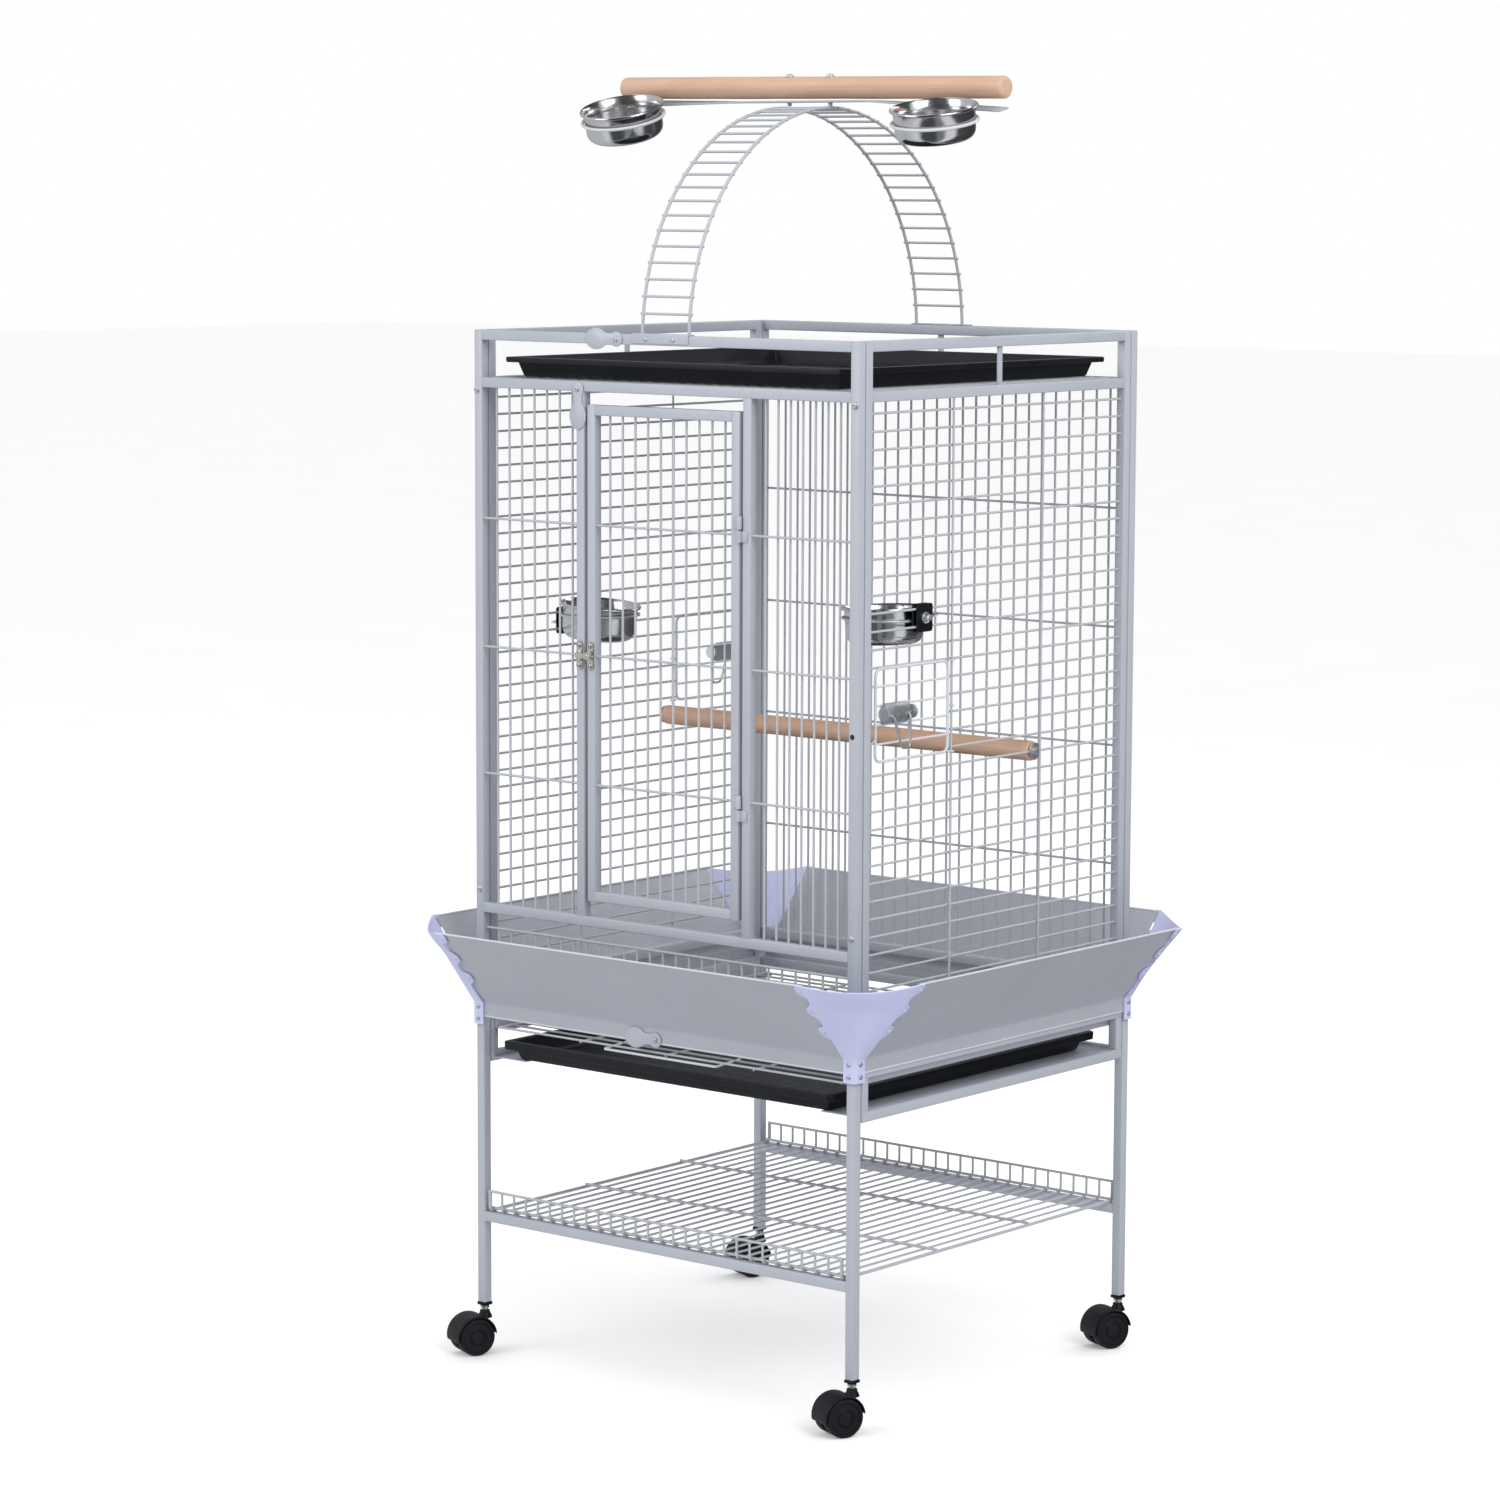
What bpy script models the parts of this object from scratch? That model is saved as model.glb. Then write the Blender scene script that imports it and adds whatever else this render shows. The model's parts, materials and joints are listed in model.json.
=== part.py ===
"""Bird cage on a wheeled stand, with a play-top.

All driving sizes are named constants in metres, +Z up, the door side faces -Y.
The floor is z = 0 and the centre of the plan is x = y = 0.
"""
import math
import bpy
import bmesh
from mathutils import Vector, Matrix

# ---------------------------------------------------------------- clean start
for ob in list(bpy.data.objects):
    bpy.data.objects.remove(ob, do_unlink=True)
for me in list(bpy.data.meshes):
    bpy.data.meshes.remove(me)

MM = 0.001

# ---------------------------------------------------------------- driving sizes
CAGE_W = 610.0 * MM          # outside width of the cage body (x)
CAGE_D = 566.0 * MM          # outside depth of the cage body (y)
TUBE = 12.7 * MM             # square steel tube
WIRE = 3.0 * MM              # bar wire
GAP = 0.3 * MM               # clearance between neighbouring pieces
GROOVE = 1.5 * MM            # seam between a side panel and the front or back panel

Z_LEG0 = 66.0 * MM           # underside of the leg tubes
Z_LEG1 = 456.0 * MM          # top of the leg tubes, where the cage stands
Z_SHELF = 172.3 * MM         # underside of the shelf rails
Z_RUN_LO = 377.0 * MM        # underside of the lower runner rail
Z_RUN_HI = 430.0 * MM        # underside of the upper runner rail
Z_CAGE_RAIL = 570.5 * MM     # underside of the cage's bottom front rail
Z_HIDDEN_RAIL = 470.0 * MM   # underside of the side and back bottom rails
Z_DECK_LO = 1231.8 * MM      # underside of the play-top's lower rail
Z_DECK_HI = 1290.6 * MM      # underside of the play-top's upper rail
Z_RIM = Z_DECK_HI + TUBE     # top of the cage rim

ROW_TOP = 1218.4 * MM        # highest horizontal wire of a side panel
ROW_PITCH = 21.42 * MM
ROW_COUNT = 34
BACK_BAR_X0 = -5.6 * MM
BACK_BAR_PITCH = 21.1 * MM
BACK_BARS_LEFT = 12
BACK_BARS_RIGHT = 13

DOOR_CX = 3.5 * MM           # centre of the front door
DOOR_OPEN_HALF = 126.0 * MM  # half the clear opening between the door posts
DOOR_HALF = 121.0 * MM       # half the door's own width
DOOR_Z0 = 603.0 * MM
DOOR_Z1 = 1216.0 * MM
DOOR_BAR_X0 = -85.1 * MM
DOOR_BAR_PITCH = 20.3 * MM
DOOR_BARS = 10
LEFT_BAR_X0 = -146.7 * MM
LEFT_BAR_PITCH = 20.95 * MM
LEFT_BARS = 7
RIGHT_BAR_X0 = 160.3 * MM
RIGHT_BAR_PITCH = 18.85 * MM
RIGHT_BARS = 7
FENCE_TOP = 553.0 * MM       # top wire of the low fence under the front rail
FENCE_TINES = 28

FLARE = 85.0 * MM            # how far the seed guard leans out
Z_SKIRT0 = 437.0 * MM
Z_SKIRT1 = 555.0 * MM
SKIRT_END = 14.5 * MM        # the seed guard sheets stop this short of the corner
SHEET = 1.2 * MM

CASTER_R = 24.0 * MM
CASTER_OFF = 18.0 * MM       # trail of a caster
CASTER_TURN = -23.0          # degrees, rest direction of the caster axles

ARCH_A = 272.5 * MM          # half span of the ladder arch
ARCH_B = 281.0 * MM          # rise of the ladder arch
ARCH_Z = 1297.0 * MM
ARCH_HALF_W = 37.0 * MM
ARCH_RUNGS = 42

HX = CAGE_W / 2
HY = CAGE_D / 2
SY = HY - TUBE - GROOVE      # half length of a side panel and side frame


# ---------------------------------------------------------------- materials
def material(name, rgb, rough, metal=0.0, alpha=1.0):
    m = bpy.data.materials.new(name)
    m.use_nodes = True
    b = m.node_tree.nodes.get("Principled BSDF")
    b.inputs["Base Color"].default_value = (rgb[0], rgb[1], rgb[2], 1.0)
    b.inputs["Roughness"].default_value = rough
    b.inputs["Metallic"].default_value = metal
    b.inputs["Alpha"].default_value = alpha
    m.diffuse_color = (rgb[0], rgb[1], rgb[2], 1.0)
    return m


LOOKS = {
    "paint": ((0.47, 0.50, 0.54), 0.42, 0.0),
    "wirepaint": ((0.47, 0.49, 0.52), 0.40, 0.0),
    "guard": ((0.64, 0.66, 0.86), 0.35, 0.0),
    "black": ((0.015, 0.015, 0.018), 0.45, 0.0),
    "wood": ((0.66, 0.44, 0.30), 0.60, 0.0),
    "steel": ((0.60, 0.60, 0.60), 0.18, 1.0),
    "zinc": ((0.55, 0.57, 0.58), 0.35, 1.0),
    "nickel": ((0.62, 0.60, 0.56), 0.22, 1.0),
}


def finish(name, bm, look, origin=(0, 0, 0), smooth=False, angle=35.0):
    """Turn a bmesh into one named object with its own material."""
    bmesh.ops.remove_doubles(bm, verts=bm.verts, dist=1e-7)
    bmesh.ops.recalc_face_normals(bm, faces=bm.faces)
    if bm.calc_volume(signed=True) < 0:
        bmesh.ops.reverse_faces(bm, faces=bm.faces)
    bmesh.ops.triangulate(bm, faces=bm.faces[:], quad_method='BEAUTY', ngon_method='BEAUTY')
    o = Vector(origin)
    bmesh.ops.translate(bm, verts=bm.verts, vec=-o)
    me = bpy.data.meshes.new(name)
    bm.to_mesh(me)
    bm.free()
    if smooth:
        lim = math.radians(angle)
        for p in me.polygons:
            p.use_smooth = True
        me.set_sharp_from_angle(angle=lim)
    ob = bpy.data.objects.new(name, me)
    ob.location = o
    bpy.context.scene.collection.objects.link(ob)
    rgb, rough, metal = LOOKS[look]
    me.materials.append(material("mat_" + name, rgb, rough, metal))
    return ob


def cuts_of(boxes, axis):
    vals = sorted({round(v, 8) for b in boxes for v in (b[2 * axis], b[2 * axis + 1])})
    return vals


def cells(boxes, fn=None, dissolve=True):
    """One closed solid from boxes in a grid space; fn maps grid space to model space."""
    cx, cy, cz = cuts_of(boxes, 0), cuts_of(boxes, 1), cuts_of(boxes, 2)
    ix = {v: i for i, v in enumerate(cx)}
    iy = {v: i for i, v in enumerate(cy)}
    iz = {v: i for i, v in enumerate(cz)}
    occ = set()
    for b in boxes:
        x0, x1 = ix[round(b[0], 8)], ix[round(b[1], 8)]
        y0, y1 = iy[round(b[2], 8)], iy[round(b[3], 8)]
        z0, z1 = iz[round(b[4], 8)], iz[round(b[5], 8)]
        for i in range(x0, x1):
            for j in range(y0, y1):
                for k in range(z0, z1):
                    occ.add((i, j, k))
    bm = bmesh.new()
    made = {}

    def vert(i, j, k):
        key = (i, j, k)
        if key not in made:
            p = (cx[i], cy[j], cz[k])
            if fn is not None:
                p = fn(*p)
            made[key] = bm.verts.new(p)
        return made[key]

    faces = (
        ((-1, 0, 0), ((0, 0, 0), (0, 0, 1), (0, 1, 1), (0, 1, 0))),
        ((1, 0, 0), ((1, 0, 0), (1, 1, 0), (1, 1, 1), (1, 0, 1))),
        ((0, -1, 0), ((0, 0, 0), (1, 0, 0), (1, 0, 1), (0, 0, 1))),
        ((0, 1, 0), ((0, 1, 0), (0, 1, 1), (1, 1, 1), (1, 1, 0))),
        ((0, 0, -1), ((0, 0, 0), (0, 1, 0), (1, 1, 0), (1, 0, 0))),
        ((0, 0, 1), ((0, 0, 1), (1, 0, 1), (1, 1, 1), (0, 1, 1))),
    )
    for (i, j, k) in sorted(occ):
        for d, quad in faces:
            if (i + d[0], j + d[1], k + d[2]) not in occ:
                bm.faces.new([vert(i + q[0], j + q[1], k + q[2]) for q in quad])
    bmesh.ops.recalc_face_normals(bm, faces=bm.faces)
    if dissolve:
        bmesh.ops.dissolve_limit(bm, angle_limit=0.002, verts=bm.verts[:], edges=bm.edges[:],
                                 use_dissolve_boundaries=False)
    return bm


def box(x0, x1, y0, y1, z0, z1):
    return (min(x0, x1), max(x0, x1), min(y0, y1), max(y0, y1), min(z0, z1), max(z0, z1))


def lathe(profile, seg, place=None):
    """Closed solid of revolution; profile is (radius, height), first and last on the axis."""
    bm = bmesh.new()
    rings = []
    for (r, h) in profile:
        if r < 1e-9:
            rings.append([bm.verts.new((0, 0, h))])
        else:
            rings.append([bm.verts.new((r * math.cos(2 * math.pi * i / seg),
                                        r * math.sin(2 * math.pi * i / seg), h)) for i in range(seg)])
    for a, b in zip(rings[:-1], rings[1:]):
        for i in range(seg):
            j = (i + 1) % seg
            if len(a) == 1 and len(b) == 1:
                continue
            if len(a) == 1:
                bm.faces.new((a[0], b[i], b[j]))
            elif len(b) == 1:
                bm.faces.new((a[i], a[j], b[0]))
            else:
                bm.faces.new((a[i], a[j], b[j], b[i]))
    if place is not None:
        bmesh.ops.transform(bm, matrix=place, verts=bm.verts)
    return bm


def prism(points, axis_from, axis_to, place):
    """Extrude a closed 2-D outline; place(u, v, w) gives model coordinates."""
    bm = bmesh.new()
    a = [bm.verts.new(place(u, v, axis_from)) for u, v in points]
    b = [bm.verts.new(place(u, v, axis_to)) for u, v in points]
    n = len(points)
    bm.faces.new(a)
    bm.faces.new(b[::-1])
    for i in range(n):
        j = (i + 1) % n
        bm.faces.new((a[i], b[i], b[j], a[j]))
    return bm


def rounded_rect(hx, hy, r, cx, cy, seg):
    pts = []
    for q in range(4):
        ccx = cx + (hx - r) * (1 if q in (0, 3) else -1)
        ccy = cy + (hy - r) * (1 if q in (0, 1) else -1)
        for s in range(seg + 1):
            a = math.pi / 2 * (q + s / seg)
            pts.append((ccx + r * math.cos(a), ccy + r * math.sin(a)))
    return pts


def loft_rect(profile, hx, hy, r, cx, cy, seg):
    """Closed solid from rounded rectangles; profile is (inset, height)."""
    bm = bmesh.new()
    rings = []
    for inset, z in profile:
        rings.append([bm.verts.new((x, y, z)) for x, y in
                      rounded_rect(hx - inset, hy - inset, max(r - inset, 4 * MM), cx, cy, seg)])
    n = len(rings[0])
    for a, b in zip(rings[:-1], rings[1:]):
        for i in range(n):
            j = (i + 1) % n
            bm.faces.new((a[i], a[j], b[j], b[i]))
    bm.faces.new(rings[0][::-1])
    bm.faces.new(rings[-1])
    return bm


def union(name, bms):
    """Exact union of closed solids."""
    obs = []
    for i, b in enumerate(bms):
        bmesh.ops.recalc_face_normals(b, faces=b.faces)
        if b.calc_volume(signed=True) < 0:
            bmesh.ops.reverse_faces(b, faces=b.faces)
        me = bpy.data.meshes.new("tmp_%s_%d" % (name, i))
        b.to_mesh(me)
        b.free()
        ob = bpy.data.objects.new(me.name, me)
        bpy.context.scene.collection.objects.link(ob)
        obs.append(ob)
    base = obs[0]
    for ob in obs[1:]:
        md = base.modifiers.new("u", 'BOOLEAN')
        md.operation = 'UNION'
        md.solver = 'EXACT'
        md.object = ob
    dg = bpy.context.evaluated_depsgraph_get()
    dg.update()
    ev = base.evaluated_get(dg)
    out = bmesh.new()
    out.from_mesh(ev.to_mesh())
    ev.to_mesh_clear()
    for ob in obs:
        me = ob.data
        bpy.data.objects.remove(ob, do_unlink=True)
        bpy.data.meshes.remove(me)
    bmesh.ops.dissolve_limit(out, angle_limit=0.002, verts=out.verts[:], edges=out.edges[:],
                             use_dissolve_boundaries=False)
    return out


# ---------------------------------------------------------------- stand
def stand_end(name, side):
    """Two legs with their cross rails; side is -1 at the front and +1 at the back."""
    y0, y1 = sorted((side * HY, side * (HY - TUBE)))
    bx = []
    for sx in (-1, 1):
        bx.append(box(sx * HX, sx * (HX - TUBE), y0, y1, Z_LEG0, Z_LEG1))
    rails = [Z_SHELF] if side < 0 else [Z_SHELF, Z_RUN_LO, Z_RUN_HI]
    for z in rails:
        bx.append(box(-(HX - TUBE), HX - TUBE, y0, y1, z, z + TUBE))
    finish(name, cells(bx), "paint")


stand_end("stand_front_legs", -1)
stand_end("stand_rear_legs", 1)

RUN_Y = SY - 5 * MM
RUN_TRAY_TOP = 383.2 * MM
RUN_GRATE_TOP = 421.0 * MM


def side_frame(name, sx):
    bx = []
    xo, xi = sx * HX, sx * (HX - TUBE)
    for z in (Z_RUN_LO, Z_RUN_HI):
        bx.append(box(xo, xi, -SY, SY, z, z + TUBE))
    for sy in (-1, 1):
        bx.append(box(xo, xi, sy * SY, sy * (SY - TUBE), Z_RUN_LO, Z_RUN_HI + TUBE))
    # runner the tray slides on, and the hanging runner for the grate
    bx.append(box(xi, sx * 238 * MM, -RUN_Y, RUN_Y, RUN_TRAY_TOP - 1.5 * MM, RUN_TRAY_TOP))
    bx.append(box(xi, sx * (HX - TUBE - 1.5 * MM), -RUN_Y, RUN_Y, RUN_GRATE_TOP - 1.5 * MM, Z_RUN_HI + 9 * MM))
    bx.append(box(sx * (HX - TUBE - 1.5 * MM), sx * 268 * MM, -RUN_Y, RUN_Y, RUN_GRATE_TOP - 1.5 * MM, RUN_GRATE_TOP))
    finish(name, cells(bx), "paint")


side_frame("side_frame_left", -1)
side_frame("side_frame_right", 1)

# shelf of wires lying front to back, with low fences at both ends
SHELF_WIRES = 29
SHELF_HALF = 285.0 * MM
SHELF_Z = Z_SHELF + TUBE + GAP
SHELF_FENCE = 25.0 * MM
bx = []
pitch = 2 * SHELF_HALF / (SHELF_WIRES - 1)
yo = HY - 1.0 * MM
for i in range(SHELF_WIRES):
    x = -SHELF_HALF + i * pitch
    bx.append(box(x - WIRE / 2, x + WIRE / 2, -yo, yo, SHELF_Z, SHELF_Z + WIRE))
for sy in (-1, 1):
    bx.append(box(-SHELF_HALF - WIRE / 2, SHELF_HALF + WIRE / 2, sy * yo, sy * (yo - WIRE), SHELF_Z, SHELF_Z + WIRE))
    bx.append(box(-SHELF_HALF - WIRE / 2, SHELF_HALF + WIRE / 2, sy * yo, sy * (yo - WIRE),
                  SHELF_Z + SHELF_FENCE, SHELF_Z + SHELF_FENCE + WIRE))
    for i in range(0, SHELF_WIRES, 4):
        x = -SHELF_HALF + i * pitch
        bx.append(box(x - WIRE / 2, x + WIRE / 2, sy * yo, sy * (yo - WIRE), SHELF_Z, SHELF_Z + SHELF_FENCE))
finish("shelf_wires", cells(bx), "wirepaint")


# ---------------------------------------------------------------- seed guard sheets
def skirt_profile():
    k = FLARE / (Z_SKIRT1 - 456 * MM)
    a = 0.4 * MM
    return [(a, Z_SKIRT0), (a, 456 * MM), (a + (Z_SKIRT1 - 456 * MM) * k * 0.99, Z_SKIRT1),
            (a + SHEET + (Z_SKIRT1 - 456 * MM) * k * 0.99, Z_SKIRT1 - 0.6 * MM),
            (a + SHEET, 455.4 * MM), (a + SHEET, Z_SKIRT0)]


def skirt(name, axis, s):
    half = (HX if axis == 'y' else HY) - SKIRT_END
    if axis == 'y':
        place = lambda u, v, w: (w, s * (HY + u), v)
    else:
        place = lambda u, v, w: (s * (HX + u), w, v)
    finish(name, prism(skirt_profile(), -half, half, place), "paint")


skirt("skirt_front", 'y', -1)
skirt("skirt_back", 'y', 1)
skirt("skirt_left", 'x', -1)
skirt("skirt_right", 'x', 1)


# ---------------------------------------------------------------- moulded corner guards
def corner_guard(name, sx, sy):
    """Fan-shaped corner that wraps the leg below and bridges two guard sheets above."""
    c = 1.95 * MM
    th = 1.8 * MM
    z0, zb, zt = 427 * MM, 455 * MM, Z_SKIRT1 + 0.2 * MM
    slope = FLARE / (Z_SKIRT1 - 456 * MM) * 0.99 + 0.002
    rows = [(-1.0, 0.0), (0.0, 0.0), (0.36, 0.0), (0.37, 1.0), (0.45, 1.0), (0.46, 0.0), (0.60, 0.0),
            (0.61, 1.0), (0.73, 1.0), (0.74, 0.0), (0.86, 0.0), (0.87, 1.0), (1.0, 1.0)]

    def point(s, t, ext, off):
        if s < 0:
            z, f = z0, 0.0
        else:
            z, f = zb + (zt - zb) * s, s
        reach = c + (zt - zb) * slope
        edge = c + (reach - c) * f
        back = -(14 - 2 * f) * MM
        tab = 11 * MM * ext
        if t < 0:
            p = (back - tab, edge)
        elif t > 1:
            p = (edge, back - tab)
        else:
            a1, b1 = -12 * MM, reach
            top = (a1 * (1 - t) + b1 * t, b1 * (1 - t) + a1 * t)
            bulge = 5 * MM * 4 * t * (1 - t)
            top = (top[0] + bulge, top[1] + bulge)
            if t <= 0.5:
                low = (-14 * MM * (1 - t / 0.5) + c * t / 0.5, c)
            else:
                low = (c, c * (1 - (t - 0.5) / 0.5) - 14 * MM * (t - 0.5) / 0.5)
            p = (low[0] * (1 - f) + top[0] * f, low[1] * (1 - f) + top[1] * f)
            if 0 < t < 1:
                z = z - 8 * MM * max(0.0, f - 0.7) / 0.3 * 4 * t * (1 - t)
        n = Vector((1, 1, -0.9 if s >= 0 else 0.0))
        if t < 0 or t == 0:
            n = Vector((0, 1, -slope * 0.9 if s > 0 else 0.0))
        elif t >= 1:
            n = Vector((1, 0, -slope * 0.9 if s > 0 else 0.0))
        elif f < 0.3:
            k = f / 0.3
            q = Vector((0, 1, 0)) if t < 0.5 else (Vector((1, 0, 0)) if t > 0.5 else Vector((1, 1, 0)))
            n = q * (1 - k) + Vector((1, 1, -0.9)) * k
        n.normalize()
        return (sx * (HX + p[0] + n.x * off), sy * (HY + p[1] + n.y * off), z + n.z * off)

    ts = [-1, 0, 0.25, 0.5, 0.75, 1, 2]
    bm = bmesh.new()
    grid = {}
    for side, off in ((0, 0.0), (1, th)):
        for i, (s, e) in enumerate(rows):
            for j, t in enumerate(ts):
                ext = e if e > 0 else 0.05
                grid[(side, i, j)] = bm.verts.new(point(s, t, ext, off))
    ni, nj = len(rows), len(ts)
    for i in range(ni - 1):
        for j in range(nj - 1):
            bm.faces.new([grid[(0, i, j)], grid[(0, i, j + 1)], grid[(0, i + 1, j + 1)], grid[(0, i + 1, j)]])
            bm.faces.new([grid[(1, i, j)], grid[(1, i + 1, j)], grid[(1, i + 1, j + 1)], grid[(1, i, j + 1)]])
    for i in range(ni - 1):
        for j in (0, nj - 1):
            bm.faces.new([grid[(0, i, j)], grid[(0, i + 1, j)], grid[(1, i + 1, j)], grid[(1, i, j)]])
    for j in range(nj - 1):
        for i in (0, ni - 1):
            bm.faces.new([grid[(0, i, j)], grid[(1, i, j)], grid[(1, i, j + 1)], grid[(0, i, j + 1)]])
    finish(name, bm, "guard", smooth=True, angle=40)


corner_guard("corner_guard_fl", -1, -1)
corner_guard("corner_guard_fr", 1, -1)
corner_guard("corner_guard_br", 1, 1)
corner_guard("corner_guard_bl", -1, 1)


# ---------------------------------------------------------------- grate and trays
GRATE_X = 278.0 * MM
GRATE_Y0, GRATE_Y1 = -272.0 * MM, 262.0 * MM
GRATE_Z = RUN_GRATE_TOP + 0.5 * MM
GRATE_ROWS = 25
bx = []
for sx in (-1, 1):
    bx.append(box(sx * GRATE_X, sx * (GRATE_X - 4 * MM), GRATE_Y0, GRATE_Y1, GRATE_Z, GRATE_Z + WIRE))
for i in range(GRATE_ROWS):
    y = GRATE_Y0 + (GRATE_Y1 - GRATE_Y0 - WIRE) * i / (GRATE_ROWS - 1)
    bx.append(box(-GRATE_X, GRATE_X, y, y + WIRE, GRATE_Z, GRATE_Z + WIRE))
# pull handle: a flat strip in front, its two ends run back over the first rows
HANDLE_HALF = 92 * MM
HANDLE_Y = -284.3 * MM
for sx in (-1, 1):
    bx.append(box(sx * HANDLE_HALF, sx * (HANDLE_HALF - WIRE), HANDLE_Y, -236 * MM, GRATE_Z, GRATE_Z + WIRE))
bx.append(box(-HANDLE_HALF, HANDLE_HALF, HANDLE_Y, HANDLE_Y + 1.5 * MM, GRATE_Z - 3.5 * MM, GRATE_Z + WIRE))
finish("floor_grate", cells(bx), "wirepaint", origin=(0, GRATE_Y0, GRATE_Z))


def tray(name, hx, y0, y1, z0, z_lip0, z_lip1, depth_in, r, origin):
    prof = [(depth_in + 2 * MM, z0), (depth_in - 5 * MM, z_lip1 - 2.4 * MM), (2 * MM, z_lip1 - 2.4 * MM),
            (2 * MM, z_lip0), (0.0, z_lip0), (0.0, z_lip1), (depth_in - 3 * MM, z_lip1),
            (depth_in + 4 * MM, z0 + 2.2 * MM)]
    bm = loft_rect(prof, hx, (y1 - y0) / 2, r, 0.0, (y0 + y1) / 2, 2)
    finish(name, bm, "black", origin=origin, smooth=True, angle=30)


tray("lower_tray", 266 * MM, -279 * MM, 267 * MM, RUN_TRAY_TOP + 0.4 * MM, 398 * MM, 408 * MM,
     15 * MM, 9 * MM, (0, -279 * MM, 398 * MM))
ROOF_TOP = Z_DECK_LO + TUBE + 0.3 * MM
tray("top_tray", 270 * MM, -268 * MM, 266 * MM, ROOF_TOP + 0.4 * MM, 1263.5 * MM, 1270 * MM,
     16 * MM, 9 * MM, (0, -268 * MM, 1264 * MM))

# wires of the cage roof under the play-top tray
bx = []
rx, ry = HX - TUBE - 0.4 * MM, HY - TUBE - 0.5 * MM
for s in (-1, 1):
    bx.append(box(s * rx, s * (rx - WIRE), -ry, ry, ROOF_TOP - WIRE, ROOF_TOP))
    bx.append(box(-rx, rx, s * ry, s * (ry - WIRE), ROOF_TOP - WIRE, ROOF_TOP))
ROOF_BARS = 13
for i in range(ROOF_BARS):
    x = -rx + 2 * rx * (i + 1) / (ROOF_BARS + 1)
    bx.append(box(x - WIRE / 2, x + WIRE / 2, -ry, ry, ROOF_TOP - WIRE, ROOF_TOP))
finish("roof_wires", cells(bx), "wirepaint")


# ---------------------------------------------------------------- cage panels
FB0, FB1 = -HY + TUBE / 2 - WIRE / 2, -HY + TUBE / 2 + WIRE / 2   # bar layer of the front


def bars(x0, pitch, n, y0, y1, z0, z1):
    return [box(x0 + i * pitch - WIRE / 2, x0 + i * pitch + WIRE / 2, y0, y1, z0, z1) for i in range(n)]


yo, yi = -HY, -HY + TUBE
bx = []
for sx in (-1, 1):
    bx.append(box(sx * HX, sx * (HX - TUBE), yo, yi, Z_LEG1 + GAP, Z_RIM))
for z in (Z_DECK_HI, Z_DECK_LO, Z_CAGE_RAIL):
    bx.append(box(-(HX - TUBE), HX - TUBE, yo, yi, z, z + TUBE))
POST_L = DOOR_CX - DOOR_OPEN_HALF
POST_R = DOOR_CX + DOOR_OPEN_HALF
bx.append(box(POST_L - TUBE, POST_L, yo, yi, Z_CAGE_RAIL, Z_DECK_LO + TUBE))
bx.append(box(POST_R, POST_R + TUBE, yo, yi, Z_CAGE_RAIL, Z_DECK_LO + TUBE))
bx += bars(LEFT_BAR_X0, -LEFT_BAR_PITCH, LEFT_BARS, FB0, FB1, Z_CAGE_RAIL + TUBE, Z_DECK_LO)
bx += bars(RIGHT_BAR_X0, RIGHT_BAR_PITCH, RIGHT_BARS, FB0, FB1, Z_CAGE_RAIL + TUBE, Z_DECK_LO)
# low fence under the bottom rail
FENCE_BASE = 476 * MM
for z in (FENCE_TOP - 4 * MM, FENCE_BASE):
    bx.append(box(-(HX - TUBE), HX - TUBE, FB0, FB1, z, z + 4 * MM))
for i in range(1, FENCE_TINES, 2):
    x = -(HX - TUBE) + 2 * (HX - TUBE) * i / FENCE_TINES
    bx.append(box(x - WIRE / 2, x + WIRE / 2, FB0, FB1, FENCE_BASE + 4 * MM, FENCE_TOP - 4 * MM))
# fixed hinge knuckles on the right door post
HINGE_Z = (739.0 * MM, 1075.0 * MM)
for z in HINGE_Z:
    bx.append(box(POST_R, POST_R + 6 * MM, yo - 3.5 * MM, yo, z - 14 * MM, z - 1 * MM))
finish("front_panel", cells(bx), "paint")

yo, yi = HY, HY - TUBE
BB0, BB1 = HY - TUBE / 2 - WIRE / 2, HY - TUBE / 2 + WIRE / 2
bx = []
for sx in (-1, 1):
    bx.append(box(sx * HX, sx * (HX - TUBE), yi, yo, Z_LEG1 + GAP, Z_RIM))
for z in (Z_DECK_HI, Z_DECK_LO, Z_HIDDEN_RAIL):
    bx.append(box(-(HX - TUBE), HX - TUBE, yi, yo, z, z + TUBE))
bx.append(box(-5 * MM, 5 * MM, BB0, BB1, Z_DECK_LO + TUBE, Z_DECK_HI))
bx += bars(BACK_BAR_X0 - BACK_BARS_LEFT * BACK_BAR_PITCH, BACK_BAR_PITCH, BACK_BARS_LEFT + BACK_BARS_RIGHT + 1,
           BB0, BB1, Z_HIDDEN_RAIL + TUBE, Z_DECK_LO)
finish("back_panel", cells(bx), "paint")

# feeder opening in each side panel, and the wire its little door turns on
FEED_Z0, FEED_Z1 = 805.0 * MM, 919.0 * MM
FEED_HINGE_Y = 95.5 * MM
SX0, SX1 = HX - TUBE / 2 - WIRE / 2, HX - TUBE / 2 + WIRE / 2


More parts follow.
